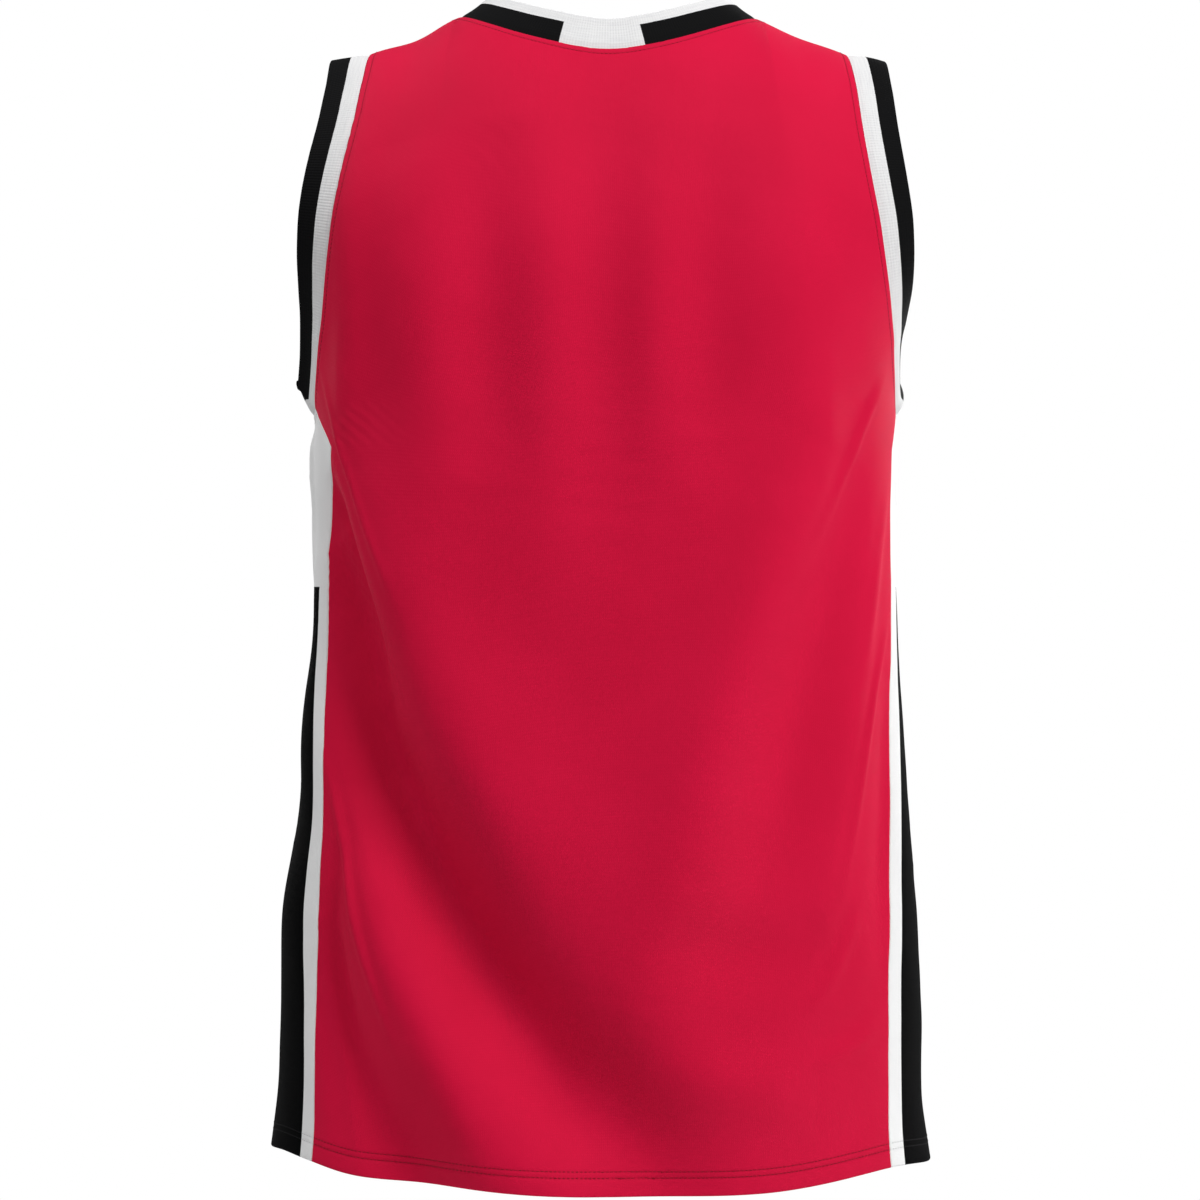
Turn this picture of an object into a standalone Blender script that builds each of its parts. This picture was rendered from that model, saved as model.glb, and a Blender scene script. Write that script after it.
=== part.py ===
"""Sleeveless basketball jersey, filled out as a wearer's body fills it, with nobody in it.

Metres, +Z up. The origin lies midway between the two neck points of the shoulders, where the
jersey hangs on its wearer. The front faces -Y, the back +Y, and the wearer's left side is +X.

Every piece is cut from one surface, the skin. A place on it is a turn and a height. The turn
is in degrees round the body: 0 at centre back, 90 at the wearer's left, 180 at centre front.
The height is a real height up to the yoke line. Above that the cloth rolls over the shoulder,
and the height counts on to 0 at the shoulder seam.
"""
import math

import bpy
import numpy as np

OBJECT = "basketball_jersey"

# Cloth, in metres. All surfaces below are the middle of the cloth.
PANEL_WALL = 0.0016
BAND_WALL = 0.0018
SEAM_GAP = 0.0004

# Heights that part the cut.
SHOULDER = 0.0
YOKE = -0.200
UNDERARM = -0.255
UNDERARM_DIP = 0.005
GUSSET = -0.281
SKIRT = -0.600
HEM = -0.745

# Shoulders and neck.
NECK_HALF_WIDTH = 0.0975
TIP_HALF_WIDTH = 0.1520
SHOULDER_DROP = 0.0240
SHOULDER_EASE = 0.020
# Where the empty shoulders sink a little: x, width and depth.
SHOULDER_SAG = [(0.122, 0.021, 0.0064), (-0.116, 0.027, 0.0058)]
BACK_NECK = {"drop": 0.0320, "roundness": 2.1}
FRONT_NECK = {"drop": 0.1000, "roundness": 1.5}

# How square a section is: 2 is an ellipse, more is boxier.
SQUARENESS = 2.2

# Level sections of the filled-out cloth. "centre" is how far a section has swung to +X.
SECTIONS = [
    # height, half width, back depth, front depth, centre
    (0.000, 0.2000, 0.115, 0.112, 0.0000),
    (-0.050, 0.2050, 0.115, 0.114, 0.0000),
    (-0.100, 0.2100, 0.118, 0.120, 0.0002),
    (-0.150, 0.2070, 0.122, 0.128, 0.0010),
    (-0.200, 0.1965, 0.123, 0.132, 0.0018),
    (-0.255, 0.1895, 0.121, 0.132, 0.0024),
    (-0.340, 0.1895, 0.116, 0.126, 0.0034),
    (-0.400, 0.1905, 0.116, 0.122, 0.0028),
    (-0.460, 0.1955, 0.119, 0.121, 0.0044),
    (-0.520, 0.1985, 0.123, 0.122, 0.0034),
    (-0.580, 0.2045, 0.127, 0.124, 0.0058),
    (-0.640, 0.2060, 0.130, 0.126, 0.0050),
    (-0.700, 0.2075, 0.133, 0.128, 0.0056),
    (-0.745, 0.2140, 0.136, 0.131, 0.0054),
]

# The armhole's edge: its turn from centre back and from centre front.
ARMHOLE = [
    # height, back turn, front turn, swing
    (0.000, 48.0, 48.0, 0.0),
    (-0.065, 47.3, 46.6, 0.0),
    (-0.100, 47.6, 46.2, 0.0),
    (-0.130, 50.2, 48.2, 0.0),
    (-0.160, 55.2, 53.0, -0.2),
    (-0.190, 62.3, 60.5, -0.6),
    (-0.225, 70.6, 70.0, -1.6),
    (-0.255, 78.7, 78.7, -4.0),
]

# The seams of the side panels, from the same lines.
SIDE_SEAMS = [
    # height, back turn, front turn, swing
    (-0.281, 69.6, 69.6, -6.0),
    (-0.340, 69.0, 69.0, -5.0),
    (-0.390, 68.2, 68.2, -4.0),
    (-0.440, 65.9, 65.9, -2.8),
    (-0.500, 63.2, 63.2, -1.6),
    (-0.560, 60.2, 60.2, -0.6),
    (-0.640, 58.8, 58.8, 0.2),
    (-0.745, 56.6, 56.6, 0.6),
]

# How far the folds draw the back seams outwards.
SEAM_DRIFT = [
    # height, degrees that the folds draw the left and the right back seam outwards
    (-0.255, 0.0, 0.0),
    (-0.281, -1.0, 0.0),
    (-0.300, 1.0, 0.0),
    (-0.316, 4.0, 0.0),
    (-0.328, 6.4, -0.1),
    (-0.340, 7.6, -0.3),
    (-0.365, 7.2, -0.4),
    (-0.389, 6.0, -0.4),
    (-0.414, 4.4, 0.4),
    (-0.438, 2.3, 1.4),
    (-0.463, 0.5, 2.0),
    (-0.487, 0.1, 2.2),
    (-0.536, -0.1, 2.6),
    (-0.561, -0.7, 2.7),
    (-0.585, -0.9, 2.4),
    (-0.610, -0.4, 1.4),
    (-0.634, -0.2, 0.9),
    (-0.659, -0.3, 1.1),
    (-0.683, -0.3, 1.7),
    (-0.710, -0.7, 1.2),
    (-0.745, -1.0, 0.6),
]

# The hem's height all round.
HEM_LINE = [
    # turn, height
    (-180.0, -0.7370),
    (-155.0, -0.7360),
    (-123.0, -0.7290),
    (-90.0, -0.7365),
    (-57.0, -0.7304),
    (-25.0, -0.7379),
    (0.0, -0.7380),
    (25.0, -0.7332),
    (45.0, -0.7306),
    (57.0, -0.7262),
    (68.0, -0.7243),
    (90.0, -0.7286),
    (123.0, -0.7270),
    (155.0, -0.7360),
    (180.0, -0.7370),
]

# Rib bands: how far they lean out of the panel's surface at the seam and at the free edge.
ARM_BAND_WIDTH = 0.0256
ARMHOLE_MIDDLE = 0.200
ARM_BAND_LEAN = [
    # height, lean at the seam, lean at the free edge
    (0.000, 27.0, 22.0),
    (-0.050, 9.0, 6.0),
    (-0.100, 10.0, 8.0),
    (-0.150, 16.0, 10.0),
    (-0.180, 8.0, 5.0),
    (-0.200, -4.0, -6.0),
    (-0.220, -14.0, -14.0),
    (-0.238, -6.0, -18.0),
    (-0.250, 20.0, -22.0),
    (-0.260, 42.0, -26.0),
]
COLLAR_WIDTH = 0.0240
COLLAR_LEAN = {"back": (14.0, 14.0), "side": (8.0, 24.0), "front": (8.0, 14.0)}

# Folds: each runs from a start past a bend to an end, in degrees and metres.
# A depth is a trough where it is negative and a ridge where it is positive.
METRES_PER_DEGREE = 0.0029
FOLDS = [
    # start turn and height, bend turn and height, end turn and height, depth, half width,
    # share of the depth at the start and at the end
    # the long drag of the back, from the left side seam down to the hem, and its ridges
    (65, -0.338, 43, -0.496, -8, -0.729, -0.0322, 0.030, 0.40, 0.33),
    (46, -0.488, 38, -0.609, 7, -0.741, 0.0100, 0.026, 0.09, 0.58),
    (55, -0.575, 50, -0.664, 24, -0.758, -0.0095, 0.020, 0.14, 0.85),
    (55, -0.259, 35, -0.417, 3, -0.596, 0.0118, 0.040, 0.38, 0.00),
    # soft drapes between the shoulder blades
    (36, -0.123, 36, -0.204, 30, -0.339, 0.0052, 0.029, 0.13, 0.37),
    (19, -0.119, 18, -0.197, 20, -0.306, -0.0085, 0.024, 0.25, 0.25),
    (1, -0.069, 0, -0.196, -1, -0.338, -0.0101, 0.023, 0.25, 0.20),
    (-6, -0.090, -5, -0.198, -7, -0.298, 0.0017, 0.011, 0.21, 0.18),
    (-15, -0.120, -15, -0.198, -18, -0.278, -0.0076, 0.022, 0.21, 0.22),
    (-32, -0.103, -35, -0.193, -41, -0.304, 0.0051, 0.028, 0.23, 0.32),
    (-41, -0.279, -19, -0.413, -6, -0.621, 0.0156, 0.031, 0.30, 0.51),
    # drags from the right armhole down the back
    (-58, -0.291, -35, -0.428, -25, -0.578, -0.0075, 0.022, 0.13, 0.14),
    (-63, -0.335, -48, -0.464, -40, -0.618, 0.0046, 0.018, 0.12, 0.16),
    (-70, -0.418, -62, -0.500, -57, -0.622, -0.0046, 0.015, 0.10, 0.21),
    (-8, -0.580, -21, -0.605, -42, -0.583, -0.0052, 0.023, 0.29, 0.31),
    (-3, -0.654, -18, -0.678, -38, -0.679, 0.0069, 0.025, 0.40, 0.20),
    (44, -0.095, 53, -0.187, 56, -0.298, 0.0053, 0.018, 0.25, 0.19),
    # the chest and the belly
    (114, -0.290, 142, -0.480, 178, -0.700, -0.0150, 0.034, 0.15, 0.40),
    (116, -0.460, 134, -0.620, 162, -0.750, 0.0090, 0.026, 0.10, 0.60),
    (128, -0.150, 146, -0.260, 162, -0.340, -0.0060, 0.024, 0.20, 0.20),
    (232, -0.150, 214, -0.260, 200, -0.340, -0.0060, 0.024, 0.20, 0.20),
    (172, -0.180, 174, -0.260, 168, -0.370, -0.0050, 0.018, 0.20, 0.20),
    (190, -0.190, 188, -0.270, 194, -0.360, -0.0045, 0.018, 0.20, 0.20),
    (242, -0.300, 214, -0.460, 203, -0.640, -0.0110, 0.028, 0.10, 0.20),
    (230, -0.400, 202, -0.540, 190, -0.730, 0.0080, 0.026, 0.10, 0.50),
    (250, -0.530, 238, -0.640, 226, -0.750, -0.0085, 0.022, 0.10, 0.90),
    # the sides, under the arms and at the hem
    (82, -0.300, 94, -0.400, 82, -0.530, -0.0060, 0.020, 0.20, 0.20),
    (108, -0.420, 92, -0.520, 98, -0.660, -0.0050, 0.020, 0.20, 0.20),
    (-84, -0.310, -98, -0.420, -86, -0.550, -0.0060, 0.020, 0.20, 0.20),
    (-112, -0.450, -106, -0.600, -110, -0.750, 0.0055, 0.020, 0.20, 0.80),
]

# How finely the cloth is divided.
NECK_STEPS = 8
SHOULDER_STEPS = 8
SIDE_STEPS = 6
ARM_BAND_STEPS = 4
ARM_BAND_WHITE_STEPS = 2
COLLAR_STEPS = 3
COLLAR_BLACK_STEPS = 2
SKIRT_ROWS = 18
ARMHOLE_ROWS = 12
FOLD_STEPS = 80
BAND_SMOOTHING = 3
TURN_STEP = 0.2
HEIGHT_STEP = 0.0004

COLOURS = {
    "red_mesh": ((0.48, 0.012, 0.035), 0.62),
    "white_mesh": ((0.80, 0.80, 0.80), 0.62),
    "white_rib": ((0.80, 0.80, 0.80), 0.75),
    "black_rib": ((0.008, 0.008, 0.008), 0.75),
}


def clear_scene():
    """Empty the scene, so that the jersey is all that it holds."""
    for obj in list(bpy.data.objects):
        bpy.data.objects.remove(obj, do_unlink=True)


def curve_through(rows):
    """A smooth curve through a table, read by its first column."""
    table = np.array(sorted(rows), dtype=float)
    knots = table[:, 0]
    values = table[:, 1:]
    slopes = np.gradient(values, knots, axis=0)

    def read(place):
        place = min(max(place, knots[0]), knots[-1])
        i = min(int(np.searchsorted(knots, place, side="right")) - 1, len(knots) - 2)
        span = knots[i + 1] - knots[i]
        t = (place - knots[i]) / span
        start = (1 + 2 * t) * (1 - t) ** 2 * values[i] + t * (1 - t) ** 2 * span * slopes[i]
        end = t * t * (3 - 2 * t) * values[i + 1] - t * t * (1 - t) * span * slopes[i + 1]
        return start + end

    return read


section_at = curve_through(SECTIONS)
armhole_at = curve_through(ARMHOLE)
side_seams_at = curve_through(SIDE_SEAMS)
drift_at = curve_through(SEAM_DRIFT)
hem_at = curve_through(HEM_LINE)
arm_lean_at = curve_through(ARM_BAND_LEAN)


def softly_past(distance):
    """Zero before an edge and the distance past it, with a soft bend between."""
    return (math.sqrt(distance ** 2 + SHOULDER_EASE ** 2) + distance) / 2


def shoulder_line(x):
    """The shoulder seam's height at x: level at the neck, then falling to the tip."""
    fall = softly_past(abs(x) - NECK_HALF_WIDTH) - softly_past(0)
    whole = softly_past(TIP_HALF_WIDTH - NECK_HALF_WIDTH) - softly_past(0)
    return -SHOULDER_DROP * fall / whole


def form(turn, height):
    """A point of the smooth filled-out body, before its folds."""
    half_width, back_depth, front_depth, centre = section_at(height)
    across = math.sin(math.radians(turn))
    along = math.cos(math.radians(turn))
    depth = back_depth if along > 0 else front_depth
    x = centre + half_width * math.copysign(abs(across) ** (2 / SQUARENESS), across)
    y = depth * math.copysign(abs(along) ** (2 / SQUARENESS), along)
    if height <= YOKE:
        return np.array((x, y, height))
    roll = (height - YOKE) / (SHOULDER - YOKE) * math.pi / 2
    sag = sum(sink * math.exp(-((x - place) / width) ** 2) for place, width, sink in SHOULDER_SAG)
    z = YOKE + (shoulder_line(x) - YOKE) * math.sin(roll) - sag * math.sin(roll) ** 3
    return np.array((x, y * math.cos(roll), z))


def outward(turn, height):
    """The direction straight out of the form."""
    middle = min(height, SHOULDER - HEIGHT_STEP)
    up = form(turn, middle + HEIGHT_STEP) - form(turn, middle - HEIGHT_STEP)
    around = form(turn + TURN_STEP, height) - form(turn - TURN_STEP, height)
    normal = np.cross(up, around)
    return normal / np.linalg.norm(normal)


def fold_path(row):
    """Turns, heights and depths along one fold, on a curve with one bend."""
    start, bend, end = np.array(row[0:2]), np.array(row[2:4]), np.array(row[4:6])
    depth, first, last = row[6], row[8], row[9]
    t = np.linspace(0, 1, FOLD_STEPS + 1)
    places = np.outer((1 - t) ** 2, start) + np.outer(2 * t * (1 - t), bend) + np.outer(t ** 2, end)
    shares = first * (1 - t) * (1 - 2 * t) + 4 * t * (1 - t) + last * t * (2 * t - 1)
    return places[:, 0], places[:, 1], depth * shares


FOLD_PATHS = [(*fold_path(row), row[7]) for row in FOLDS]


def fold_depth(turn, height):
    """How far the folds push the cloth out (or in) at a place."""
    total = 0.0
    for turns, heights, depths, half_width in FOLD_PATHS:
        aside = (turns - turn + 180) % 360 - 180
        gaps = np.hypot(aside * METRES_PER_DEGREE, heights - height)
        nearest = int(gaps.argmin())
        total += depths[nearest] * math.exp(-(gaps[nearest] / half_width) ** 2)
    return total


def skin(turn, height):
    """A point of the cloth, folds and all."""
    return form(turn, height) + fold_depth(turn, height) * outward(turn, height)


def seam_turns(height, side):
    """The turns of one side panel's seams (back and front) and the swing, at a height."""
    if height >= UNDERARM:
        back, front, swing = armhole_at(height)
    elif height <= GUSSET:
        back, front, swing = side_seams_at(height)
    else:
        share = (height - GUSSET) / (UNDERARM - GUSSET)
        back, front, swing = side_seams_at(GUSSET) * (1 - share) + armhole_at(UNDERARM) * share
    left, right = drift_at(height)
    return back + (left if side >= 0 else right), front, swing


def seam_place(face, side, height):
    """The turn of a panel's edge on one side."""
    back, front, swing = seam_turns(height, side)
    if face == "back":
        return side * back + swing
    return side * (180 - front) + swing


def neck_place(face, angle):
    """The turn and height of the neckline, at an angle from the panel's centre line."""
    neck = BACK_NECK if face == "back" else FRONT_NECK
    x = NECK_HALF_WIDTH * math.sin(math.radians(angle))
    z = -neck["drop"] * abs(math.cos(math.radians(angle))) ** neck["roundness"]
    roll = math.asin((z - YOKE) / (shoulder_line(x) - YOKE))
    height = YOKE + (SHOULDER - YOKE) * roll / (math.pi / 2)
    half_width, _, _, centre = section_at(height)
    sine = math.copysign(abs((x - centre) / half_width) ** (SQUARENESS / 2), x - centre)
    turn = math.degrees(math.asin(sine))
    return (turn if face == "back" else 180 - turn), height


def column_place(face, share, height):
    """The turn of a column that lies a share of the way from centre line to edge."""
    back, front, swing = seam_turns(height, share)
    if face == "back":
        return share * back + swing
    return 180 - share * front + swing


def column_share(face, turn, height):
    """The share of a place, the other way round."""
    back, front, swing = seam_turns(height, turn)
    if face == "back":
        return (turn - swing) / back
    return (180 + swing - turn) / front


def panel_columns(face):
    """Each column's share and the height of its top, from the -X edge to the +X edge."""
    columns = []
    for step in range(-NECK_STEPS, NECK_STEPS + 1):
        turn, height = neck_place(face, 90 * step / NECK_STEPS)
        columns.append((column_share(face, turn, height), height))
    inner = columns[-1][0]
    shares = [inner + (1 - inner) * step / SHOULDER_STEPS for step in range(1, SHOULDER_STEPS + 1)]
    right = [(share, SHOULDER) for share in shares]
    left = [(-share, SHOULDER) for share in reversed(shares)]
    return left + columns + right


def common_rows():
    """Heights that all pieces share, from the hem to the shoulder."""
    skirt = np.linspace(HEM, GUSSET, SKIRT_ROWS - 1)
    gusset = [(GUSSET + UNDERARM) / 2, UNDERARM]
    armhole = np.linspace(UNDERARM, SHOULDER, ARMHOLE_ROWS + 1)[1:]
    return [*skirt, *gusset, *armhole]


def fit_row(row, top, bottom):
    """Move a common row so that the rows end at a column's own top and hem."""
    if row > UNDERARM:
        return UNDERARM + (row - UNDERARM) * (top - UNDERARM) / (SHOULDER - UNDERARM)
    if row < SKIRT:
        return SKIRT + (row - SKIRT) * (bottom - SKIRT) / (HEM - SKIRT)
    return row


def panel_grid(face):
    """Rows of places (turn, height) over the front or the back."""
    columns = panel_columns(face)
    grid = []
    for row in common_rows():
        places = []
        for share, top in columns:
            hem = hem_at(wrap(column_place(face, share, HEM)))[0]
            height = fit_row(row, top, hem)
            places.append((column_place(face, share, height), height))
        grid.append(places)
    return grid


def side_turn(side, share, height):
    """The turn of a place a share of the way from a side panel's back seam to its front seam."""
    return mix(seam_place("back", side, height), seam_place("front", side, height), share)


def side_grid(side):
    """Rows of places over a side panel, from its back seam round to its front seam."""
    grid = []
    for row in common_rows():
        if row > UNDERARM:
            break
        dip = UNDERARM_DIP * max(row - GUSSET, 0.0) / (UNDERARM - GUSSET)
        places = []
        for step in range(SIDE_STEPS + 1):
            share = step / SIDE_STEPS
            hem = hem_at(wrap(side_turn(side, share, HEM)))[0]
            height = fit_row(row, SHOULDER, hem) - dip * 4 * share * (1 - share)
            places.append((side_turn(side, share, height), height))
        grid.append(places)
    return grid


def mix(start, end, share):
    """A value a share of the way from start to end."""
    return start + (end - start) * share


def wrap(turn):
    """A turn between -180 and 180."""
    return (turn + 180) % 360 - 180


def trimmed(grid):
    """Draw the four edges of a grid back by half a seam gap."""
    result = grid.copy()
    whole = slice(None)
    rows = [((0, whole), (1, whole)), ((-1, whole), (-2, whole))]
    columns = [((whole, 0), (whole, 1)), ((whole, -1), (whole, -2))]
    for edge, inner in rows + columns:
        step = grid[inner] - grid[edge]
        step /= np.linalg.norm(step, axis=-1, keepdims=True)
        result[edge] += step * SEAM_GAP / 2
    return result


def principled(name):
    """A plain material of the piece's colour."""
    colour, roughness = COLOURS[name]
    material = bpy.data.materials.new(name)
    material.use_nodes = True
    shader = material.node_tree.nodes["Principled BSDF"]
    shader.inputs["Base Color"].default_value = (*colour, 1.0)
    shader.inputs["Roughness"].default_value = roughness
    shader.inputs["Metallic"].default_value = 0.0
    material.diffuse_color = (*colour, 1.0)
    return material


def cloth_object(collection, name, points, wall, finishes, closed=False, second_from=None):
    """A piece of cloth through a grid of points, thickened to both sides of it.

    A closed piece joins its last column to its first. Rows past second_from take the second finish.
    """
    rows, columns = points.shape[0], points.shape[1]
    around = columns if closed else columns - 1
    faces = []
    for i in range(rows - 1):
        for j in range(around):
            k = (j + 1) % columns
            low, high = i * columns, (i + 1) * columns
            faces.append((low + j, low + k, high + k, high + j))
    mesh = bpy.data.meshes.new(name)
    mesh.from_pydata([tuple(p) for p in points.reshape(-1, 3)], [], faces)
    for finish in finishes:
        mesh.materials.append(bpy.data.materials.get(finish) or principled(finish))
    if second_from is not None:
        for polygon in mesh.polygons:
            polygon.material_index = int(polygon.index // around >= second_from)
    mesh.shade_smooth()
    obj = bpy.data.objects.new(name, mesh)
    collection.objects.link(obj)
    solidify = obj.modifiers.new("cloth", "SOLIDIFY")
    solidify.thickness = wall
    solidify.offset = 0.0


def make_panel(collection, name, grid, outside_in, finish):
    """A panel over a grid of places, its seam edges drawn back and its face turned outwards."""
    points = trimmed(np.array([[skin(turn, height) for turn, height in row] for row in grid]))
    if outside_in:
        points = points[:, ::-1]
    cloth_object(collection, name, points, PANEL_WALL, [finish])


def armhole_loop(side):
    """Places round an armhole: up the back edge, down the front edge and along the underarm."""
    heights = [row for row in common_rows() if row >= UNDERARM]
    loop = [(seam_place("back", side, h), h) for h in heights]
    loop += [(seam_place("front", side, h), h) for h in reversed(heights[:-1])]
    loop += list(reversed(side_grid(side)[-1][1:-1]))
    return loop


def neck_loop():
    """Places round the neckline, from centre back by the +X side."""
    back = [neck_place("back", 90 * step / NECK_STEPS) for step in range(0, NECK_STEPS + 1)]
    front = [neck_place("front", 90 * step / NECK_STEPS) for step in range(NECK_STEPS - 1, -NECK_STEPS, -1)]
    rest = [neck_place("back", 90 * step / NECK_STEPS) for step in range(-NECK_STEPS, 0)]
    return back + front + rest


def smoothed(values):
    """Soften values round a closed loop, each with its neighbours."""
    for _ in range(BAND_SMOOTHING):
        values = (np.roll(values, 1, axis=0) + 2 * values + np.roll(values, -1, axis=0)) / 4
    return values


def band_points(loop, width, steps, wall, leans, into):
    """Rows of points across a band that is sewn along a loop and leans out of the skin."""
    seam = np.array([skin(turn, height) for turn, height in loop])
    normals = smoothed(np.array([outward(turn, height) for turn, height in loop]))
    tangents = smoothed(np.roll(seam, -1, axis=0) - np.roll(seam, 1, axis=0))
    edges = np.cross(normals, tangents)
    edges /= np.linalg.norm(edges, axis=1, keepdims=True)
    edges *= np.sign(np.sum(edges * (into - seam), axis=1).mean())
    normals /= np.linalg.norm(normals, axis=1, keepdims=True)
    roots, tips = np.radians(smoothed(np.array(leans))).T[:, :, None]
    row = seam + edges * (SEAM_GAP / 2 + wall / 2 * np.abs(np.sin(roots)))
    rows = [row]
    for step in range(steps):
        share = (step + 0.5) / steps
        lean = mix(roots, tips, share * share * (3 - 2 * share))
        row = row + (edges * np.cos(lean) + normals * np.sin(lean)) * width / steps
        rows.append(row)
    return np.array(rows)


def make_arm_band(collection, side, name):
    """The rib band of one armhole: a white strip at the seam and a black one outside it."""
    loop = armhole_loop(side)
    leans = [arm_lean_at(height) for _, height in loop]
    middle = np.array((side * ARMHOLE_MIDDLE, 0.0, UNDERARM / 2))
    points = band_points(loop, ARM_BAND_WIDTH, ARM_BAND_STEPS, BAND_WALL, leans, middle)
    if side > 0:
        points = points[:, ::-1]
    cloth_object(collection, name, points, BAND_WALL, ["white_rib", "black_rib"],
                 closed=True, second_from=ARM_BAND_WHITE_STEPS)


def make_collar(collection):
    """The rib collar: a black strip at the seam and a white one at the free edge."""
    loop = neck_loop()
    widest = math.sin(math.radians(neck_place("back", 90)[0]))
    leans = []
    for turn, _ in loop:
        aside = min((math.sin(math.radians(turn)) / widest) ** 2, 1.0)
        middle = COLLAR_LEAN["back" if math.cos(math.radians(turn)) > 0 else "front"]
        leans.append([mix(start, end, aside) for start, end in zip(middle, COLLAR_LEAN["side"])])
    throat = np.zeros(3)
    points = band_points(loop, COLLAR_WIDTH, COLLAR_STEPS, BAND_WALL, leans, throat)
    cloth_object(collection, "collar_band", points[:, ::-1], BAND_WALL, ["black_rib", "white_rib"],
                 closed=True, second_from=COLLAR_BLACK_STEPS)


def main():
    clear_scene()
    collection = bpy.data.collections.new(OBJECT)
    bpy.context.scene.collection.children.link(collection)
    make_panel(collection, "back_panel", panel_grid("back"), True, "red_mesh")
    make_panel(collection, "front_panel", panel_grid("front"), False, "red_mesh")
    make_panel(collection, "side_panel_left", side_grid(1), True, "white_mesh")
    make_panel(collection, "side_panel_right", side_grid(-1), False, "white_mesh")
    make_collar(collection)
    make_arm_band(collection, 1, "armhole_band_left")
    make_arm_band(collection, -1, "armhole_band_right")


main()
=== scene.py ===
# %% [markdown]
# # A basketball jersey, dressed in Blender
#
# The jersey is already built as seven plain, thick walls of cloth: back, front, two side panels,
# a collar and two armhole bands. This notebook dresses them. Each wall gets a thin, finely
# divided sheet of cloth with the creases, turned edges and stitching that sewn sportswear has,
# and a finish for its own knit.

# %% Load the frame
import math

import bmesh
import bpy
import numpy as np
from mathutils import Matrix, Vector, noise
from mathutils.bvhtree import BVHTree
from mathutils.kdtree import KDTree


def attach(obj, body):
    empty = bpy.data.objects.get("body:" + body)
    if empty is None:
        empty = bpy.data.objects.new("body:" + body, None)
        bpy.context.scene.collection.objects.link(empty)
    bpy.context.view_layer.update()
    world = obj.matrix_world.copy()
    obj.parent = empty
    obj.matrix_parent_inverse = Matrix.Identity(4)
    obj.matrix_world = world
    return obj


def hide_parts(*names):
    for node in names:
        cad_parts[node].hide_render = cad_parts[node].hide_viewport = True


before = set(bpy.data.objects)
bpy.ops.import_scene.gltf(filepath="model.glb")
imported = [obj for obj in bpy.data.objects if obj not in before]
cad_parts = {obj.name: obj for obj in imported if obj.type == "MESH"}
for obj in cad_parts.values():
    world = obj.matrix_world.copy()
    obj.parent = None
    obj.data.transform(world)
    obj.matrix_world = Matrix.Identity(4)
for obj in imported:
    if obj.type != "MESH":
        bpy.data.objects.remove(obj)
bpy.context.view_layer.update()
print("loaded", sorted(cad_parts))

# %% [markdown]
# ## The form that fills the jersey
#
# A jersey that is filled out with nobody in it is a tube of cloth whose width and depth change
# slowly from hem to shoulder. It could be sculpted, but a short table of level sections says it
# more exactly, and one formula can then place any point of any piece. A place is a turn round the
# body, in degrees from centre back by the wearer's left, and a height. Above the yoke the cloth
# rolls over the shoulder, so the height counts on to 0 at the shoulder seam.

# %% Sections, seams and hem, as the cutter gives them
SHOULDER, YOKE, UNDERARM, GUSSET, SKIRT, HEM = 0.0, -0.200, -0.255, -0.281, -0.600, -0.745
UNDERARM_DIP = 0.005
NECK_HALF_WIDTH, TIP_HALF_WIDTH = 0.0975, 0.1520
SHOULDER_DROP, SHOULDER_EASE = 0.0240, 0.020
SHOULDER_SAG = [(0.122, 0.021, 0.0064), (-0.116, 0.027, 0.0058)]
NECK = {"back": (0.0293, 2.1), "front": (0.1000, 1.5)}
SQUARENESS = 2.2

SECTIONS = [
    # height, half width, back depth, front depth, centre
    (0.000, 0.2000, 0.115, 0.112, 0.0000),
    (-0.050, 0.2050, 0.115, 0.114, 0.0000),
    (-0.100, 0.2100, 0.118, 0.120, 0.0002),
    (-0.150, 0.2070, 0.122, 0.128, 0.0010),
    (-0.200, 0.1965, 0.123, 0.132, 0.0018),
    (-0.255, 0.1895, 0.121, 0.132, 0.0024),
    (-0.340, 0.1895, 0.116, 0.126, 0.0034),
    (-0.400, 0.1905, 0.116, 0.122, 0.0028),
    (-0.460, 0.1955, 0.119, 0.121, 0.0044),
    (-0.520, 0.1985, 0.123, 0.122, 0.0034),
    (-0.580, 0.2045, 0.127, 0.124, 0.0058),
    (-0.640, 0.2060, 0.130, 0.126, 0.0050),
    (-0.700, 0.2075, 0.133, 0.128, 0.0056),
    (-0.745, 0.2140, 0.136, 0.131, 0.0054),
]
ARMHOLE = [
    # height, back turn, front turn, swing
    (0.000, 48.0, 48.0, 0.0),
    (-0.065, 47.3, 46.6, 0.0),
    (-0.100, 47.6, 46.2, 0.0),
    (-0.130, 50.2, 48.2, 0.0),
    (-0.160, 55.2, 53.0, -0.2),
    (-0.190, 62.3, 60.5, -0.6),
    (-0.225, 70.6, 70.0, -1.6),
    (-0.255, 78.7, 78.7, -4.0),
]
SIDE_SEAMS = [
    # height, back turn, front turn, swing
    (-0.281, 69.6, 69.6, -6.0),
    (-0.340, 69.0, 69.0, -5.0),
    (-0.390, 68.2, 68.2, -4.0),
    (-0.440, 65.9, 65.9, -2.8),
    (-0.500, 63.2, 63.2, -1.6),
    (-0.560, 60.2, 60.2, -0.6),
    (-0.640, 58.8, 58.8, 0.2),
    (-0.745, 56.6, 56.6, 0.6),
]
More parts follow.
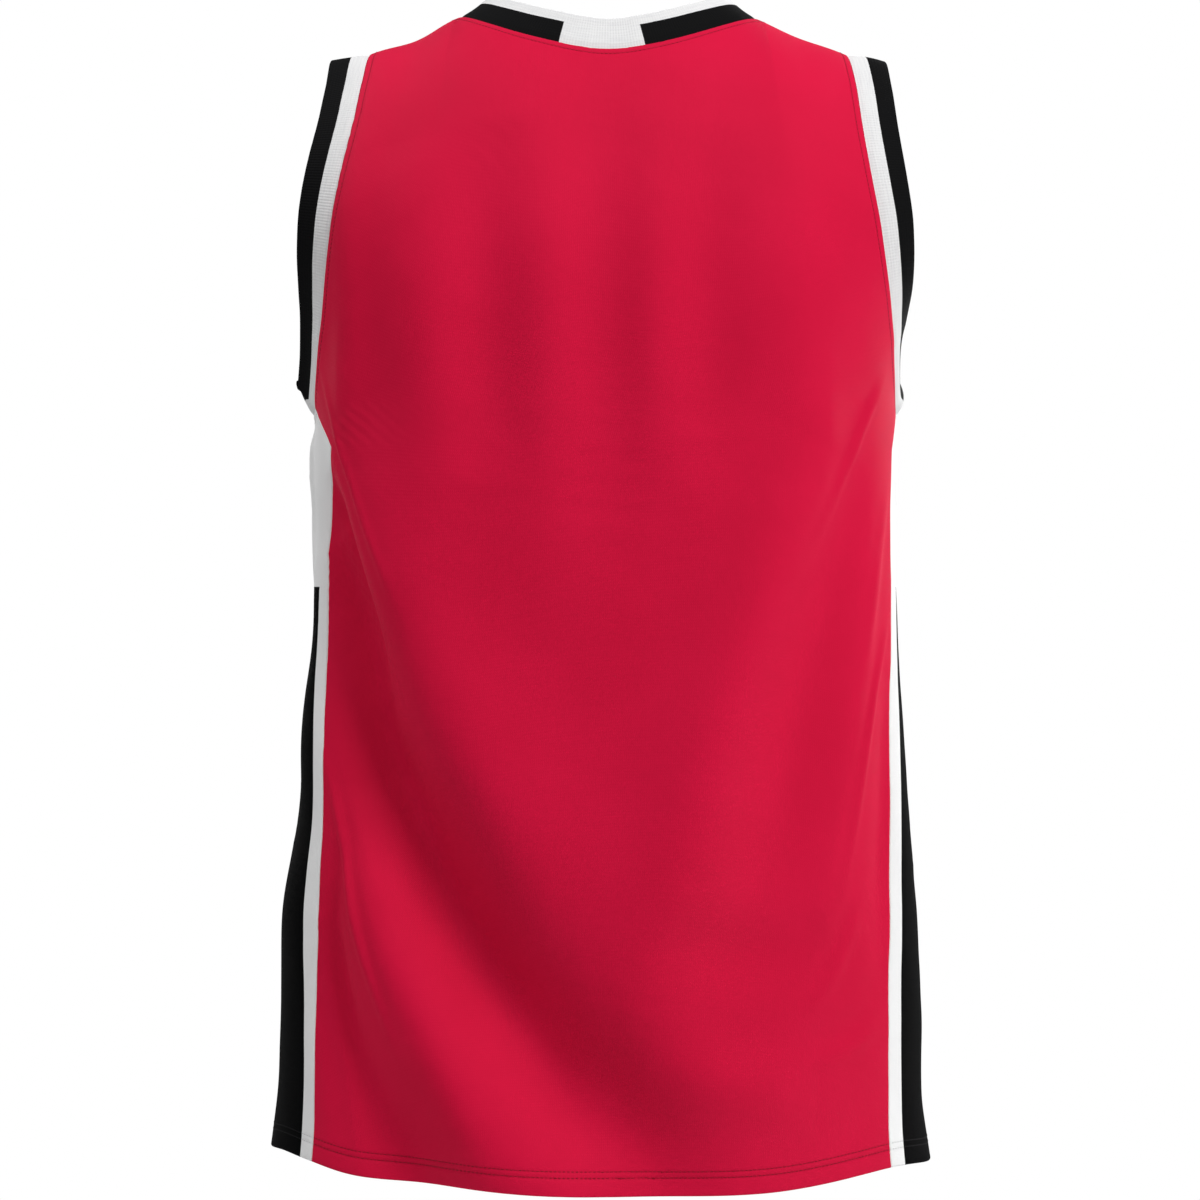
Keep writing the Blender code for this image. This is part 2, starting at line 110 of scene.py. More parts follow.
SEAM_DRIFT = [
    # height, degrees that the folds draw the left and the right back seam outwards
    (-0.255, 0.0, 0.0),
    (-0.281, -2.4, 0.0),
    (-0.289, -1.6, 0.0),
    (-0.300, 1.2, 0.0),
    (-0.316, 4.0, 0.0),
    (-0.328, 6.4, -0.1),
    (-0.340, 7.6, -0.3),
    (-0.365, 7.2, -0.4),
    (-0.389, 6.0, -0.4),
    (-0.414, 4.4, 0.4),
    (-0.438, 2.3, 1.4),
    (-0.463, 0.5, 2.0),
    (-0.487, 0.1, 2.2),
    (-0.536, -0.1, 2.6),
    (-0.561, -0.7, 2.7),
    (-0.585, -0.9, 2.4),
    (-0.610, -0.4, 1.4),
    (-0.634, -0.2, 0.9),
    (-0.659, -0.3, 1.1),
    (-0.683, -0.3, 1.7),
    (-0.710, -0.7, 1.2),
    (-0.745, -1.0, 0.6),
]
INSET_MARGIN = [
    # height, white margin beside the left and the right black inset
    (-0.365, 0.0072, 0.0120),
    (-0.410, 0.0095, 0.0121),
    (-0.460, 0.0095, 0.0122),
    (-0.500, 0.0110, 0.0112),
    (-0.540, 0.0138, 0.0110),
    (-0.565, 0.0145, 0.0112),
    (-0.590, 0.0132, 0.0116),
    (-0.615, 0.0110, 0.0126),
    (-0.660, 0.0104, 0.0140),
    (-0.710, 0.0118, 0.0147),
    (-0.745, 0.0120, 0.0150),
]
HEM_LINE = [
    # turn, height
    (-180.0, -0.7370),
    (-155.0, -0.7360),
    (-123.0, -0.7290),
    (-90.0, -0.7365),
    (-57.0, -0.7304),
    (-25.0, -0.7379),
    (0.0, -0.7380),
    (25.0, -0.7332),
    (45.0, -0.7306),
    (57.0, -0.7262),
    (68.0, -0.7243),
    (90.0, -0.7286),
    (123.0, -0.7270),
    (155.0, -0.7360),
    (180.0, -0.7370),
]

# %% [markdown]
# ## From the tables to a surface
#
# A smooth curve runs through each table. The form is a stack of rounded boxes between an ellipse
# and a rectangle, which is how cloth hangs round a chest. numpy works on a whole grid of places
# at once, so tens of thousands of points take a moment.

# %% Curves through the tables, and the smooth form
def curve_through(rows):
    """A smooth curve through a table, read by its first column, for one place or for many."""
    table = np.array(sorted(rows), dtype=float)
    knots, values = table[:, 0], table[:, 1:]
    slopes = np.gradient(values, knots, axis=0)

    def read(place):
        place = np.clip(np.asarray(place, dtype=float), knots[0], knots[-1])
        i = np.clip(np.searchsorted(knots, place, side="right") - 1, 0, len(knots) - 2)
        span = (knots[i + 1] - knots[i])[..., None]
        t = (place - knots[i])[..., None] / span
        start = (1 + 2 * t) * (1 - t) ** 2 * values[i] + t * (1 - t) ** 2 * span * slopes[i]
        end = t * t * (3 - 2 * t) * values[i + 1] - t * t * (1 - t) * span * slopes[i + 1]
        return start + end

    return read


section_at, armhole_at = curve_through(SECTIONS), curve_through(ARMHOLE)
side_seams_at, hem_at = curve_through(SIDE_SEAMS), curve_through(HEM_LINE)
drift_at, margin_at = curve_through(SEAM_DRIFT), curve_through(INSET_MARGIN)


def softly_past(distance):
    """Zero before an edge and the distance past it, with a soft bend between."""
    return (np.sqrt(distance ** 2 + SHOULDER_EASE ** 2) + distance) / 2


def shoulder_line(x):
    """The shoulder seam's height: level at the neck, then falling to the tip."""
    fall = softly_past(np.abs(x) - NECK_HALF_WIDTH) - softly_past(0)
    return -SHOULDER_DROP * fall / (softly_past(TIP_HALF_WIDTH - NECK_HALF_WIDTH) - softly_past(0))


def form(turn, height):
    """Points of the smooth filled-out form."""
    half_width, back_depth, front_depth, centre = np.moveaxis(section_at(height), -1, 0)
    across, along = np.sin(np.radians(turn)), np.cos(np.radians(turn))
    x = centre + half_width * np.sign(across) * np.abs(across) ** (2 / SQUARENESS)
    depth = np.where(along > 0, back_depth, front_depth)
    y = depth * np.sign(along) * np.abs(along) ** (2 / SQUARENESS)
    roll = np.clip((height - YOKE) / (SHOULDER - YOKE), 0, None) * math.pi / 2
    rolled = YOKE + (shoulder_line(x) - YOKE) * np.sin(roll)
    sag = sum(depth * np.exp(-((x - place) / width) ** 2) for place, width, depth in SHOULDER_SAG)
    z = np.where(height <= YOKE, height, rolled - sag * np.sin(roll) ** 3)
    return np.stack([x, y * np.cos(roll), z], axis=-1)


STEP_UP, STEP_ROUND = 0.0004, 0.2


def outward(turn, height):
    """The directions straight out of the form, from a short step up and one round."""
    middle = np.minimum(height, SHOULDER - STEP_UP)
    up = form(turn, middle + STEP_UP) - form(turn, middle - STEP_UP)
    around = form(turn + STEP_ROUND, height) - form(turn - STEP_ROUND, height)
    normal = np.cross(up, around)
    return normal / np.linalg.norm(normal, axis=-1, keepdims=True)


print("form at centre back, mid height:", form(np.array(0.0), np.array(-0.4)).round(3))

# %% [markdown]
# ## Large folds and the creases between them
#
# Cloth that hangs from the shoulders and clings at the sides drags in long diagonals. The large
# folds are already in the walls, so they are laid down here just as they are there. The creases
# are finer. Most are a soft ridge with a shallower trough beside it, as where cloth buckles, and
# a few are wide hollows. No two have the same length, depth or spacing. A simulation would
# scatter them by chance, so they are placed one by one.

# %% The large folds, as the walls have them
METRES_PER_DEGREE = 0.0029  # round the body, at its usual girth
FOLDS = [
    # start turn and height, bend turn and height, end turn and height, depth, half width,
    # share of the depth at the start and at the end
    (65, -0.338, 43, -0.496, -8, -0.729, -0.0322, 0.030, 0.40, 0.33),
    (46, -0.488, 38, -0.609, 7, -0.741, 0.0100, 0.026, 0.09, 0.58),
    (55, -0.575, 50, -0.664, 24, -0.758, -0.0095, 0.020, 0.14, 0.85),
    (55, -0.259, 35, -0.417, 3, -0.596, 0.0118, 0.040, 0.38, 0.00),
    (36, -0.123, 36, -0.204, 30, -0.339, 0.0052, 0.029, 0.13, 0.37),
    (19, -0.119, 18, -0.197, 20, -0.306, -0.0085, 0.024, 0.25, 0.25),
    (1, -0.069, 0, -0.196, -1, -0.338, -0.0101, 0.023, 0.25, 0.20),
    (-6, -0.090, -5, -0.198, -7, -0.298, 0.0017, 0.011, 0.21, 0.18),
    (-15, -0.120, -15, -0.198, -18, -0.278, -0.0076, 0.022, 0.21, 0.22),
    (-32, -0.103, -35, -0.193, -41, -0.304, 0.0051, 0.028, 0.23, 0.32),
    (-41, -0.279, -19, -0.413, -6, -0.621, 0.0156, 0.031, 0.30, 0.51),
    (-58, -0.291, -35, -0.428, -25, -0.578, -0.0075, 0.022, 0.13, 0.14),
    (-63, -0.335, -48, -0.464, -40, -0.618, 0.0046, 0.018, 0.12, 0.16),
    (-70, -0.418, -62, -0.500, -57, -0.622, -0.0046, 0.015, 0.10, 0.21),
    (-8, -0.580, -21, -0.605, -42, -0.583, -0.0052, 0.023, 0.29, 0.31),
    (-3, -0.654, -18, -0.678, -38, -0.679, 0.0069, 0.025, 0.40, 0.20),
    (44, -0.095, 53, -0.187, 56, -0.298, 0.0053, 0.018, 0.25, 0.19),
    (114, -0.290, 142, -0.480, 178, -0.700, -0.0150, 0.034, 0.15, 0.40),
    (116, -0.460, 134, -0.620, 162, -0.750, 0.0090, 0.026, 0.10, 0.60),
    (128, -0.150, 146, -0.260, 162, -0.340, -0.0060, 0.024, 0.20, 0.20),
    (232, -0.150, 214, -0.260, 200, -0.340, -0.0060, 0.024, 0.20, 0.20),
    (172, -0.180, 174, -0.260, 168, -0.370, -0.0050, 0.018, 0.20, 0.20),
    (190, -0.190, 188, -0.270, 194, -0.360, -0.0045, 0.018, 0.20, 0.20),
    (242, -0.300, 214, -0.460, 203, -0.640, -0.0110, 0.028, 0.10, 0.20),
    (230, -0.400, 202, -0.540, 190, -0.730, 0.0080, 0.026, 0.10, 0.50),
    (250, -0.530, 238, -0.640, 226, -0.750, -0.0085, 0.022, 0.10, 0.90),
    (82, -0.300, 94, -0.400, 82, -0.530, -0.0060, 0.020, 0.20, 0.20),
    (108, -0.420, 92, -0.520, 98, -0.660, -0.0050, 0.020, 0.20, 0.20),
    (-84, -0.310, -98, -0.420, -86, -0.550, -0.0060, 0.020, 0.20, 0.20),
    (-112, -0.450, -106, -0.600, -110, -0.750, 0.0055, 0.020, 0.20, 0.80),
]

# %% The finer creases, placed one by one
CREASES = [
    # start turn and height, bend turn and height, end turn and height, height of the ridge,
    # half width, the trough's share and the side it lies on
    (67, -0.229, 50, -0.306, 37, -0.391, 0.0020, 0.0030, -0.35),
    (62, -0.473, 47, -0.560, 35, -0.655, 0.0022, 0.0032, 0.35),
    (56, -0.600, 50, -0.660, 42, -0.728, 0.0014, 0.0060, -0.6),
    (-67, -0.232, -56, -0.273, -39, -0.348, 0.0020, 0.0034, -0.4),
    (-72, -0.300, -64, -0.350, -55, -0.420, 0.0014, 0.0055, 0.7),
    (-69, -0.390, -55, -0.449, -45, -0.560, 0.0018, 0.0036, -0.4),
    (-50, -0.566, -46, -0.600, -36, -0.630, 0.0016, 0.0050, -0.7),
    (-55, -0.640, -48, -0.655, -36, -0.662, 0.0012, 0.0065, -0.7),
    (110, -0.240, 124, -0.300, 140, -0.390, 0.0020, 0.0055, -0.8),
    (112, -0.330, 122, -0.400, 134, -0.470, 0.0014, 0.0065, 0.7),
    (120, -0.500, 130, -0.570, 146, -0.650, 0.0018, 0.0070, -0.8),
    (252, -0.240, 238, -0.290, 222, -0.370, 0.0020, 0.0055, 0.8),
    (250, -0.390, 240, -0.450, 226, -0.560, 0.0016, 0.0065, -0.7),
    (238, -0.600, 226, -0.640, 208, -0.665, 0.0014, 0.0070, 0.7),
    (80, -0.262, 88, -0.300, 84, -0.360, 0.0016, 0.0055, 0.7),
    (98, -0.262, 92, -0.320, 99, -0.400, 0.0014, 0.0060, -0.7),
    (-82, -0.262, -90, -0.310, -86, -0.380, 0.0016, 0.0055, -0.7),
    (-100, -0.262, -94, -0.330, -101, -0.410, 0.0014, 0.0060, 0.7),
    (66, -0.295, 57, -0.331, 44, -0.435, -0.0067, 0.0103, 0.0),
    (54, -0.522, 53, -0.602, 47, -0.664, -0.0049, 0.0094, 0.0),
    (29, -0.637, 24, -0.682, 14, -0.743, 0.0027, 0.0137, 0.0),
    (70, -0.262, 90, -0.270, 110, -0.262, -0.0036, 0.0095, 0.0),
    (-66, -0.215, -82, -0.262, -112, -0.250, -0.0028, 0.0200, 0.0),
]


# %% Relief of folds and creases
FOLD_REACH, FOLD_STEPS = 4, 80
CREASE_REACH, CREASE_STEPS, CREASE_FADE = 5, 120, 0.7
TROUGH_AWAY, TROUGH_WIDTH = 2.0, 1.3
SWELLS = [(16, 0.0007), (45, 0.00022)]


def path_of(row, steps):
    """Turns, heights and shares along a curve with one bend."""
    start, bend, end = np.array(row[0:2]), np.array(row[2:4]), np.array(row[4:6])
    t = np.linspace(0, 1, steps + 1)
    places = np.outer((1 - t) ** 2, start) + np.outer(2 * t * (1 - t), bend) + np.outer(t ** 2, end)
    return places[:, 0], places[:, 1], t


def near_path(turn, height, row, reach, steps):
    """Which places lie near a path, and for those the gaps to its points."""
    turns, heights, t = path_of(row, steps)
    chosen = (height > heights.min() - reach) & (height < heights.max() + reach)
    aside = (turns[None, :] - turn[chosen][:, None] + 180) % 360 - 180
    return chosen, aside * METRES_PER_DEGREE, heights[None, :] - height[chosen][:, None], t


def fold_relief(turn, height):
    """How far the large folds push the cloth out, or in."""
    total = np.zeros(turn.shape)
    for row in FOLDS:
        depth, half_width, first, last = row[6:]
        chosen, across, up, t = near_path(turn, height, row, FOLD_REACH * half_width, FOLD_STEPS)
        gaps = np.hypot(across, up)
        t = t[gaps.argmin(axis=1)]
        shares = first * (1 - t) * (1 - 2 * t) + 4 * t * (1 - t) + last * t * (2 * t - 1)
        total[chosen] += depth * shares * np.exp(-(gaps.min(axis=1) / half_width) ** 2)
    return total


def crease_relief(turn, height):
    """Ridges with a trough beside them, fading out at both ends."""
    total = np.zeros(turn.shape)
    for row in CREASES:
        depth, half_width, trough = row[6:]
        reach = CREASE_REACH * half_width
        chosen, across, up, t = near_path(turn, height, row, reach, CREASE_STEPS)
        nearest = np.hypot(across, up).argmin(axis=1)
        picked = np.arange(len(nearest))
        before, after = np.clip(nearest - 1, 0, None), np.clip(nearest + 1, None, len(t) - 1)
        run_across = across[picked, after] - across[picked, before]
        run_up = up[picked, after] - up[picked, before]
        length = np.hypot(run_across, run_up)
        across, up = across[picked, nearest], up[picked, nearest]
        aside = (run_across * up - run_up * across) / length
        beyond = np.abs(run_across * across + run_up * up) / length
        shares = np.sin(math.pi * np.clip(t[nearest], 0.02, 0.98)) ** CREASE_FADE
        shares = shares * np.exp(-(beyond / half_width) ** 2)
        ridge = np.exp(-(aside / half_width) ** 2)
        side = aside - math.copysign(TROUGH_AWAY, trough) * half_width
        hollow = abs(trough) * np.exp(-(side / (TROUGH_WIDTH * half_width)) ** 2)
        total[chosen] += depth * shares * (ridge - hollow)
    return total


def unevenness(points):
    """Slow swells of well under a millimetre, because no cloth is quite smooth."""
    return np.array([sum(noise.noise(Vector(p) * scale) * height for scale, height in SWELLS)
                     for p in points])


def skin(turn, height, lift=0.0, creased=True):
    """Points on the middle of the walls, or lifted off it by so many metres."""
    turn, height = np.asarray(turn, float), np.asarray(height, float)
    flat_turn, flat_height = turn.ravel(), height.ravel()
    smooth = form(flat_turn, flat_height)
    relief = fold_relief(flat_turn, flat_height) + np.broadcast_to(lift, turn.shape).ravel()
    if creased:
        relief = relief + crease_relief(flat_turn, flat_height) + unevenness(smooth)
    return (smooth + relief[:, None] * outward(flat_turn, flat_height)).reshape(*turn.shape, 3)

# %% [markdown]
# ## The pieces as grids of places
#
# A panel is a grid of rows and columns between its seams. Rows and columns crowd together near an
# edge, where the cloth is turned under: there the surface rolls down by the thickness of the
# cloth, and that small roll is what makes a seam look sewn. Elsewhere one point every few
# millimetres is enough for the creases.

# %% Where the seams lie
NECK_STEPS, SHOULDER_STEPS, SIDE_STEPS = 28, 32, 34
NECK_SHARE = 0.60
SKIRT_ROWS, GUSSET_ROWS, ARMHOLE_ROWS = 160, 9, 78
FROM_EDGE = np.array([0.0, 0.00016, 0.0004, 0.0007, 0.0012, 0.0022, 0.0036])
SHOULDER_ZONE, UNDERARM_ZONE = 0.005, 0.004


def seam_turns(height, side):
    """The turns of one side's two seams and their swing: the armhole's above the underarm."""
    height = np.asarray(height, float)
    share = np.clip((height - GUSSET) / (UNDERARM - GUSSET), 0, 1)[..., None]
    between = side_seams_at(GUSSET) * (1 - share) + armhole_at(UNDERARM) * share
    upper, lower = (height >= UNDERARM)[..., None], (height <= GUSSET)[..., None]
    turns = np.where(upper, armhole_at(height), np.where(lower, side_seams_at(height), between))
    back, front, swing = np.moveaxis(turns, -1, 0)
    left, right = np.moveaxis(drift_at(height), -1, 0)
    return back + np.where(np.asarray(side) >= 0, left, right), front, swing


def panel_turn(face, share, height):
    """The turn at a share of the way from the centre line of the front or the back to its seam."""
    back, front, swing = seam_turns(height, share)
    return share * back + swing if face == "back" else 180 - share * front + swing


def side_turn(side, share, height):
    """The turn at a share of the way from a side panel's back seam to its front seam."""
    back, front, swing = seam_turns(height, side)
    start, end = side * back + swing, side * (180 - front) + swing
    return start + (end - start) * share


def neck_place(face, angle):
    """The turn and height of the neckline, at an angle from the panel's centre line."""
    drop, roundness = NECK[face]
    x = NECK_HALF_WIDTH * np.sin(np.radians(angle))
    z = -drop * np.abs(np.cos(np.radians(angle))) ** roundness
    height = YOKE - YOKE * np.arcsin((z - YOKE) / (shoulder_line(x) - YOKE)) / (math.pi / 2)
    half_width, _, _, centre = np.moveaxis(section_at(height), -1, 0)
    across = np.sign(x - centre) * np.abs((x - centre) / half_width) ** (SQUARENESS / 2)
    turn = np.degrees(np.arcsin(across))
    return (turn if face == "back" else 180 - turn), height


def wrap(turn):
    """A turn between -180 and 180."""
    return (turn + 180) % 360 - 180


# %% Rows and columns of places over each panel
HEM_ROUND, NECK_PULL = 0.0009, 1.5


def row_heights():
    """Heights that all panels share, from the hem's bend to the shoulder."""
    skirt = np.linspace(HEM + HEM_ROUND, GUSSET, SKIRT_ROWS + 1)
    gusset = np.linspace(GUSSET, UNDERARM, GUSSET_ROWS + 1)[1:]
    armhole = np.linspace(UNDERARM, SHOULDER - SHOULDER_ZONE, ARMHOLE_ROWS + 1)[1:]
    return np.concatenate([skirt, gusset, armhole, SHOULDER - FROM_EDGE[::-1]])


def fit_rows(rows, top, bottom):
    """Move the shared rows so that they end at each column's own top and hem."""
    upper = UNDERARM + (rows - UNDERARM) * (top - UNDERARM) / (SHOULDER - UNDERARM)
    lower = SKIRT + (rows - SKIRT) * (bottom - SKIRT) / (HEM - SKIRT)
    return np.where(rows > UNDERARM, upper, np.where(rows < SKIRT, lower, rows))


def metres_per_share(turn_at, end, inner, heights):
    """How far a share of 1 reaches in metres, measured next to an edge, for each row."""
    gap = form(turn_at(end, heights), heights) - form(turn_at(inner, heights), heights)
    return np.linalg.norm(gap, axis=-1) / abs(end - inner)


def panel_places(face):
    """Turns and heights over the front or the back, row by row."""
    rows = row_heights()
    neck_turns, neck_tops = neck_place(face, np.linspace(-90, 90, 2 * NECK_STEPS + 1))
    back, front, swing = seam_turns(neck_tops, neck_turns)
    inner = (neck_turns - swing) / back if face == "back" else (180 + swing - neck_turns) / front
    evenly = np.linspace(-1, 1, 2 * NECK_STEPS + 1) * NECK_SHARE
    pull = np.clip((rows - UNDERARM) / (SHOULDER - UNDERARM), 0, 1)[:, None] ** NECK_PULL

    def turn_at(share, height):
        return panel_turn(face, share, height)

    middle = evenly + (inner - evenly) * pull
    columns = [middle]
    for sign in (-1, 1):
        reach = metres_per_share(turn_at, sign, sign * 0.97, rows)[:, None]
        near = 1 - FROM_EDGE[::-1] / reach
        start = middle[:, -1:] if sign > 0 else -middle[:, :1]
        steps = np.linspace(0, 1, SHOULDER_STEPS + 1)[1:-1]
        outer = np.concatenate([start + (near[:, :1] - start) * steps, near], axis=1)
        columns = columns + [outer] if sign > 0 else [-outer[:, ::-1]] + columns
    shares = np.concatenate(columns, axis=1)
    level = np.full(columns[0].shape[1], SHOULDER)
    tops = np.concatenate([level, neck_tops, level])
    bottoms = hem_at(wrap(turn_at(shares[0], np.full(len(tops), HEM))))[:, 0]
    heights = fit_rows(rows[:, None], tops[None, :], bottoms[None, :])
    return turn_at(shares, heights), heights


def side_places(side):
    """Turns and heights over a side panel, from its back seam round to its front seam."""
    rows = row_heights()
    rows = np.concatenate([rows[rows < UNDERARM - UNDERARM_ZONE], UNDERARM - FROM_EDGE[::-1]])

    def turn_at(share, height):
        return side_turn(side, share, height)

    near = [FROM_EDGE / metres_per_share(turn_at, end, inner, rows)[:, None]
            for end, inner in ((0, 0.05), (1, 0.95))]
    steps = np.linspace(0, 1, SIDE_STEPS + 1)[1:-1]
    first, last = near[0][:, -1:], 1 - near[1][:, -1:]
    shares = np.concatenate([near[0], first + (last - first) * steps, 1 - near[1][:, ::-1]], axis=1)
    bottoms = hem_at(wrap(turn_at(shares[0], np.full(shares.shape[1], HEM))))[:, 0]
    heights = fit_rows(rows[:, None], SHOULDER, bottoms[None, :])
    dip = UNDERARM_DIP * np.clip(rows - GUSSET, 0, None) / (UNDERARM - GUSSET)
    heights = heights - dip[:, None] * 4 * shares * (1 - shares)
    return turn_at(shares, heights), heights


places = {
    "back_cloth": panel_places("back"),
    "front_cloth": panel_places("front"),
    "side_cloth_left": side_places(1),
    "side_cloth_right": side_places(-1),
}
for name, (turns, heights) in places.items():
    print(name, "grid of", turns.shape[0], "rows and", turns.shape[1], "columns")

# %% [markdown]
# ## Cutting a panel
#
# A sewn panel has a thickness, edges that roll down into the seam, a lip behind the seam where
# the allowance is, and a hem that is turned up inside. The hem goes round a small bend and 17 mm
# up the inside. All of it is one sheet, so it is laid out as one grid of points and then given
# its wall by Solidify, the way a cutter first draws the outline and only then picks the cloth.

# %% Distances to an edge, and how the cloth rolls there
CLOTH, LIFT, ROLL = 0.0007, 0.0008, 0.0008


def distance_to(points, line):
    """Each point's distance from a line of points."""
    tree = KDTree(len(line))
    for number, place in enumerate(line):
        tree.insert(place, number)
    tree.balance()
    nearest = np.array([tree.find(point)[1] for point in points])
    best = np.full(len(points), np.inf)
    for step in (-1, 0):
        start = np.clip(nearest + step, 0, len(line) - 2)
        run, gap = line[start + 1] - line[start], points - line[start]
        share = np.clip((gap * run).sum(axis=1) / (run * run).sum(axis=1), 0, 1)
        best = np.minimum(best, np.linalg.norm(gap - share[:, None] * run, axis=1))
    return best


def rolled(distance):
    """The lift of the outside at a distance from a seam: it falls to 0 in a quarter round."""
    inside = np.clip(1 - distance / ROLL, 0, 1)
    return LIFT - ROLL * (1 - np.sqrt(1 - inside ** 2))


def grid_corners(rows, columns):
    """The corner numbers of a grid's four-sided faces."""
    numbers = np.arange(rows * columns).reshape(rows, columns)
    corners = [numbers[:-1, :-1], numbers[:-1, 1:], numbers[1:, 1:], numbers[1:, :-1]]
    return np.stack(corners, axis=-1).reshape(-1, 4)


def running_length(points, axis):
    """The length along a grid's rows or columns, from their start."""
    steps = np.linalg.norm(np.diff(points, axis=axis), axis=-1)
    start = np.zeros_like(np.take(steps, [0], axis=axis))
    return np.concatenate([start, np.cumsum(steps, axis=axis)], axis=axis)


# %% The turned hem and the lip behind a seam
FLAP, HEM_STEP = 0.0170, 0.002
LIP, LIP_GAP = 0.0009, 0.00002
LIP_ABOVE_HEM, LIP_FADE = 0.022, 0.006
LIP_OFF_BAND, LIP_BAND_FADE = 0.0035, 0.003


def turned_hem(base):
    """Heights from the flap's top down and round the hem's bend, and how far inside they lie."""
    bend = np.linspace(0, math.pi, 7)[1:, None]
    flap = np.linspace(0, FLAP - HEM_ROUND, 6)[1:, None]
    heights = [base + HEM_ROUND * (1 - np.sin(bend)), base + HEM_ROUND + flap]
    depths = [HEM_ROUND * (1 - np.cos(bend)), np.full((len(flap), 1), 2 * HEM_ROUND)]
    return np.concatenate(heights)[::-1], np.concatenate(depths)[::-1]


def with_hem(values, hem_rows):
    """A panel's values, its lowest row repeated below it for each row of the turned hem."""
    return np.concatenate([np.tile(values[0], (hem_rows, 1)), values])


def seam_lip(turns, heights, lifts, rim, band_edges):
    """Points just behind the rim, as an allowance is, fading out at the hem and the bands."""
    turns, heights, lifts = (values.ravel()[rim] for values in (turns, heights, lifts))
    lines = [line for lines in band_edges.values() for line in lines]
    from_bands = np.min([distance_to(form(turns, heights), line) for line in lines], axis=0)
    depth = LIP * np.clip((heights - heights[0] - LIP_ABOVE_HEM) / LIP_FADE, 0, 1)
    depth = depth * np.clip((from_bands - LIP_OFF_BAND) / LIP_BAND_FADE, 0, 1)
    return skin(turns, heights, lifts - depth - LIP_GAP)


# %% One panel as points, faces and measures
def cut_panel(name, band_edges):
    """A panel's points and faces, with what its finish needs to know at each point."""
    turns, heights = places[name]
    smooth = form(turns, heights)
    rows, columns = turns.shape
    flat = smooth.reshape(-1, 3)
    sides = np.minimum(distance_to(flat, smooth[:, 0]), distance_to(flat, smooth[:, -1]))
    sides = sides.reshape(rows, columns)
    edge = np.minimum(sides, distance_to(flat, smooth[-1]).reshape(rows, columns))
    base = heights[0] - HEM_ROUND
    under, sink = turned_hem(base)
    hem_rows = len(under)
    turns, heights = with_hem(turns, hem_rows), np.concatenate([under, heights])
    lifts = rolled(with_hem(edge, hem_rows))
    lifts[:hem_rows] -= sink
    points = skin(turns, heights, lifts).reshape(-1, 3)

    number = np.arange(turns.size).reshape(turns.shape)[hem_rows:]
    rim = np.concatenate([number[:, 0], number[-1, 1:-1], number[::-1, -1]])
    lip = seam_lip(turns, heights, lifts, rim, band_edges)
    numbers = turns.size + np.arange(len(rim))
    strip = np.stack([rim[:-1], numbers[:-1], numbers[1:], rim[1:]], axis=-1)

    across, up = running_length(smooth, 1), running_length(smooth, 0)
    below = -np.arange(hem_rows)[::-1, None] * HEM_STEP - HEM_STEP / 2
    measures = {
        "around": with_hem(across - across[:, [columns // 2]], hem_rows),
        "up": np.concatenate([np.tile(below, (1, columns)), up]),
        "from_side": with_hem(sides, hem_rows),
        "from_hem": heights - base,
    }
    for key in ("from_neck", "from_arm"):
        near = [distance_to(flat, line) for line in band_edges.get(key, [])] or [np.ones(len(flat))]
        measures[key] = with_hem(np.min(near, axis=0).reshape(rows, columns), hem_rows)
    margins = margin_at(heights)[..., 1 if name.endswith("right") else 0]
    measures["inset"] = measures["from_side"] - margins
    measures = {key: np.append(value, value.ravel()[rim]) for key, value in measures.items()}
    faces = np.concatenate([grid_corners(*turns.shape), strip])
    return np.concatenate([points, lip]), faces, measures


# %% From points to a walled piece
def as_lists(points, faces):
    """Points and faces in plain lists, as Blender takes them."""
    return [tuple(point) for point in points], [tuple(int(i) for i in face) for face in faces]


def mesh_piece(name, points, faces, outside):
    """An object from points and faces, turned so that its faces look to the outside."""
    mesh = bpy.data.meshes.new(name)
    points, faces = as_lists(points, faces)
    mesh.from_pydata(points, [], faces)
    mesh.update()
    piece = bpy.data.objects.new(name, mesh)
    bpy.context.scene.collection.objects.link(piece)
    directions, centres = np.empty(len(faces) * 3), np.empty(len(faces) * 3)
    mesh.polygons.foreach_get("normal", directions)
    mesh.polygons.foreach_get("center", centres)
    looks = (directions.reshape(-1, 3) * outside(centres.reshape(-1, 3))).sum(axis=1).mean()
    if looks < 0:
        mesh.flip_normals()
    return piece


def note(piece, measures):
    """Keep the measures on the mesh, one number a point, for the finish to read."""
    for key, values in measures.items():
        layer = piece.data.attributes.new(key, "FLOAT", "POINT")
        layer.data.foreach_set("value", np.asarray(values, dtype=np.float32))


def deselect_all():
    """Let go of every object, because an operator acts on all that is selected."""
    for other in bpy.context.selected_objects:
        other.select_set(False)


def apply_modifier(piece, kind, **settings):
    """Add a modifier, set it and apply it."""
    deselect_all()
    bpy.context.view_layer.objects.active = piece
    piece.select_set(True)
    modifier = piece.modifiers.new(kind.title(), kind)
    for key, value in settings.items():
        setattr(modifier, key, value)
    bpy.ops.object.modifier_apply(modifier=modifier.name)


def smooth_shaded(piece):
    """Smooth shading over the whole piece."""
    piece.data.polygons.foreach_set("use_smooth", [True] * len(piece.data.polygons))
    piece.data.update()


def away_from_axis(places):
    """Directions out of the jersey: away from its upright axis."""
    return places * np.array([1, 1, 0])


def edge_lines(name):
    """The lines of a panel that a band is sewn to, on the smooth form."""
    turns, heights = places[name]
    smooth = form(turns, heights)
    if name.startswith("side"):
        return {"from_arm": [smooth[-1]]}
    neck = np.abs(smooth[-1, :, 0]) <= NECK_HALF_WIDTH + 1e-6
    above = heights[:, 0] >= UNDERARM
    return {"from_neck": [smooth[-1, neck]], "from_arm": [smooth[above, 0], smooth[above, -1]]}


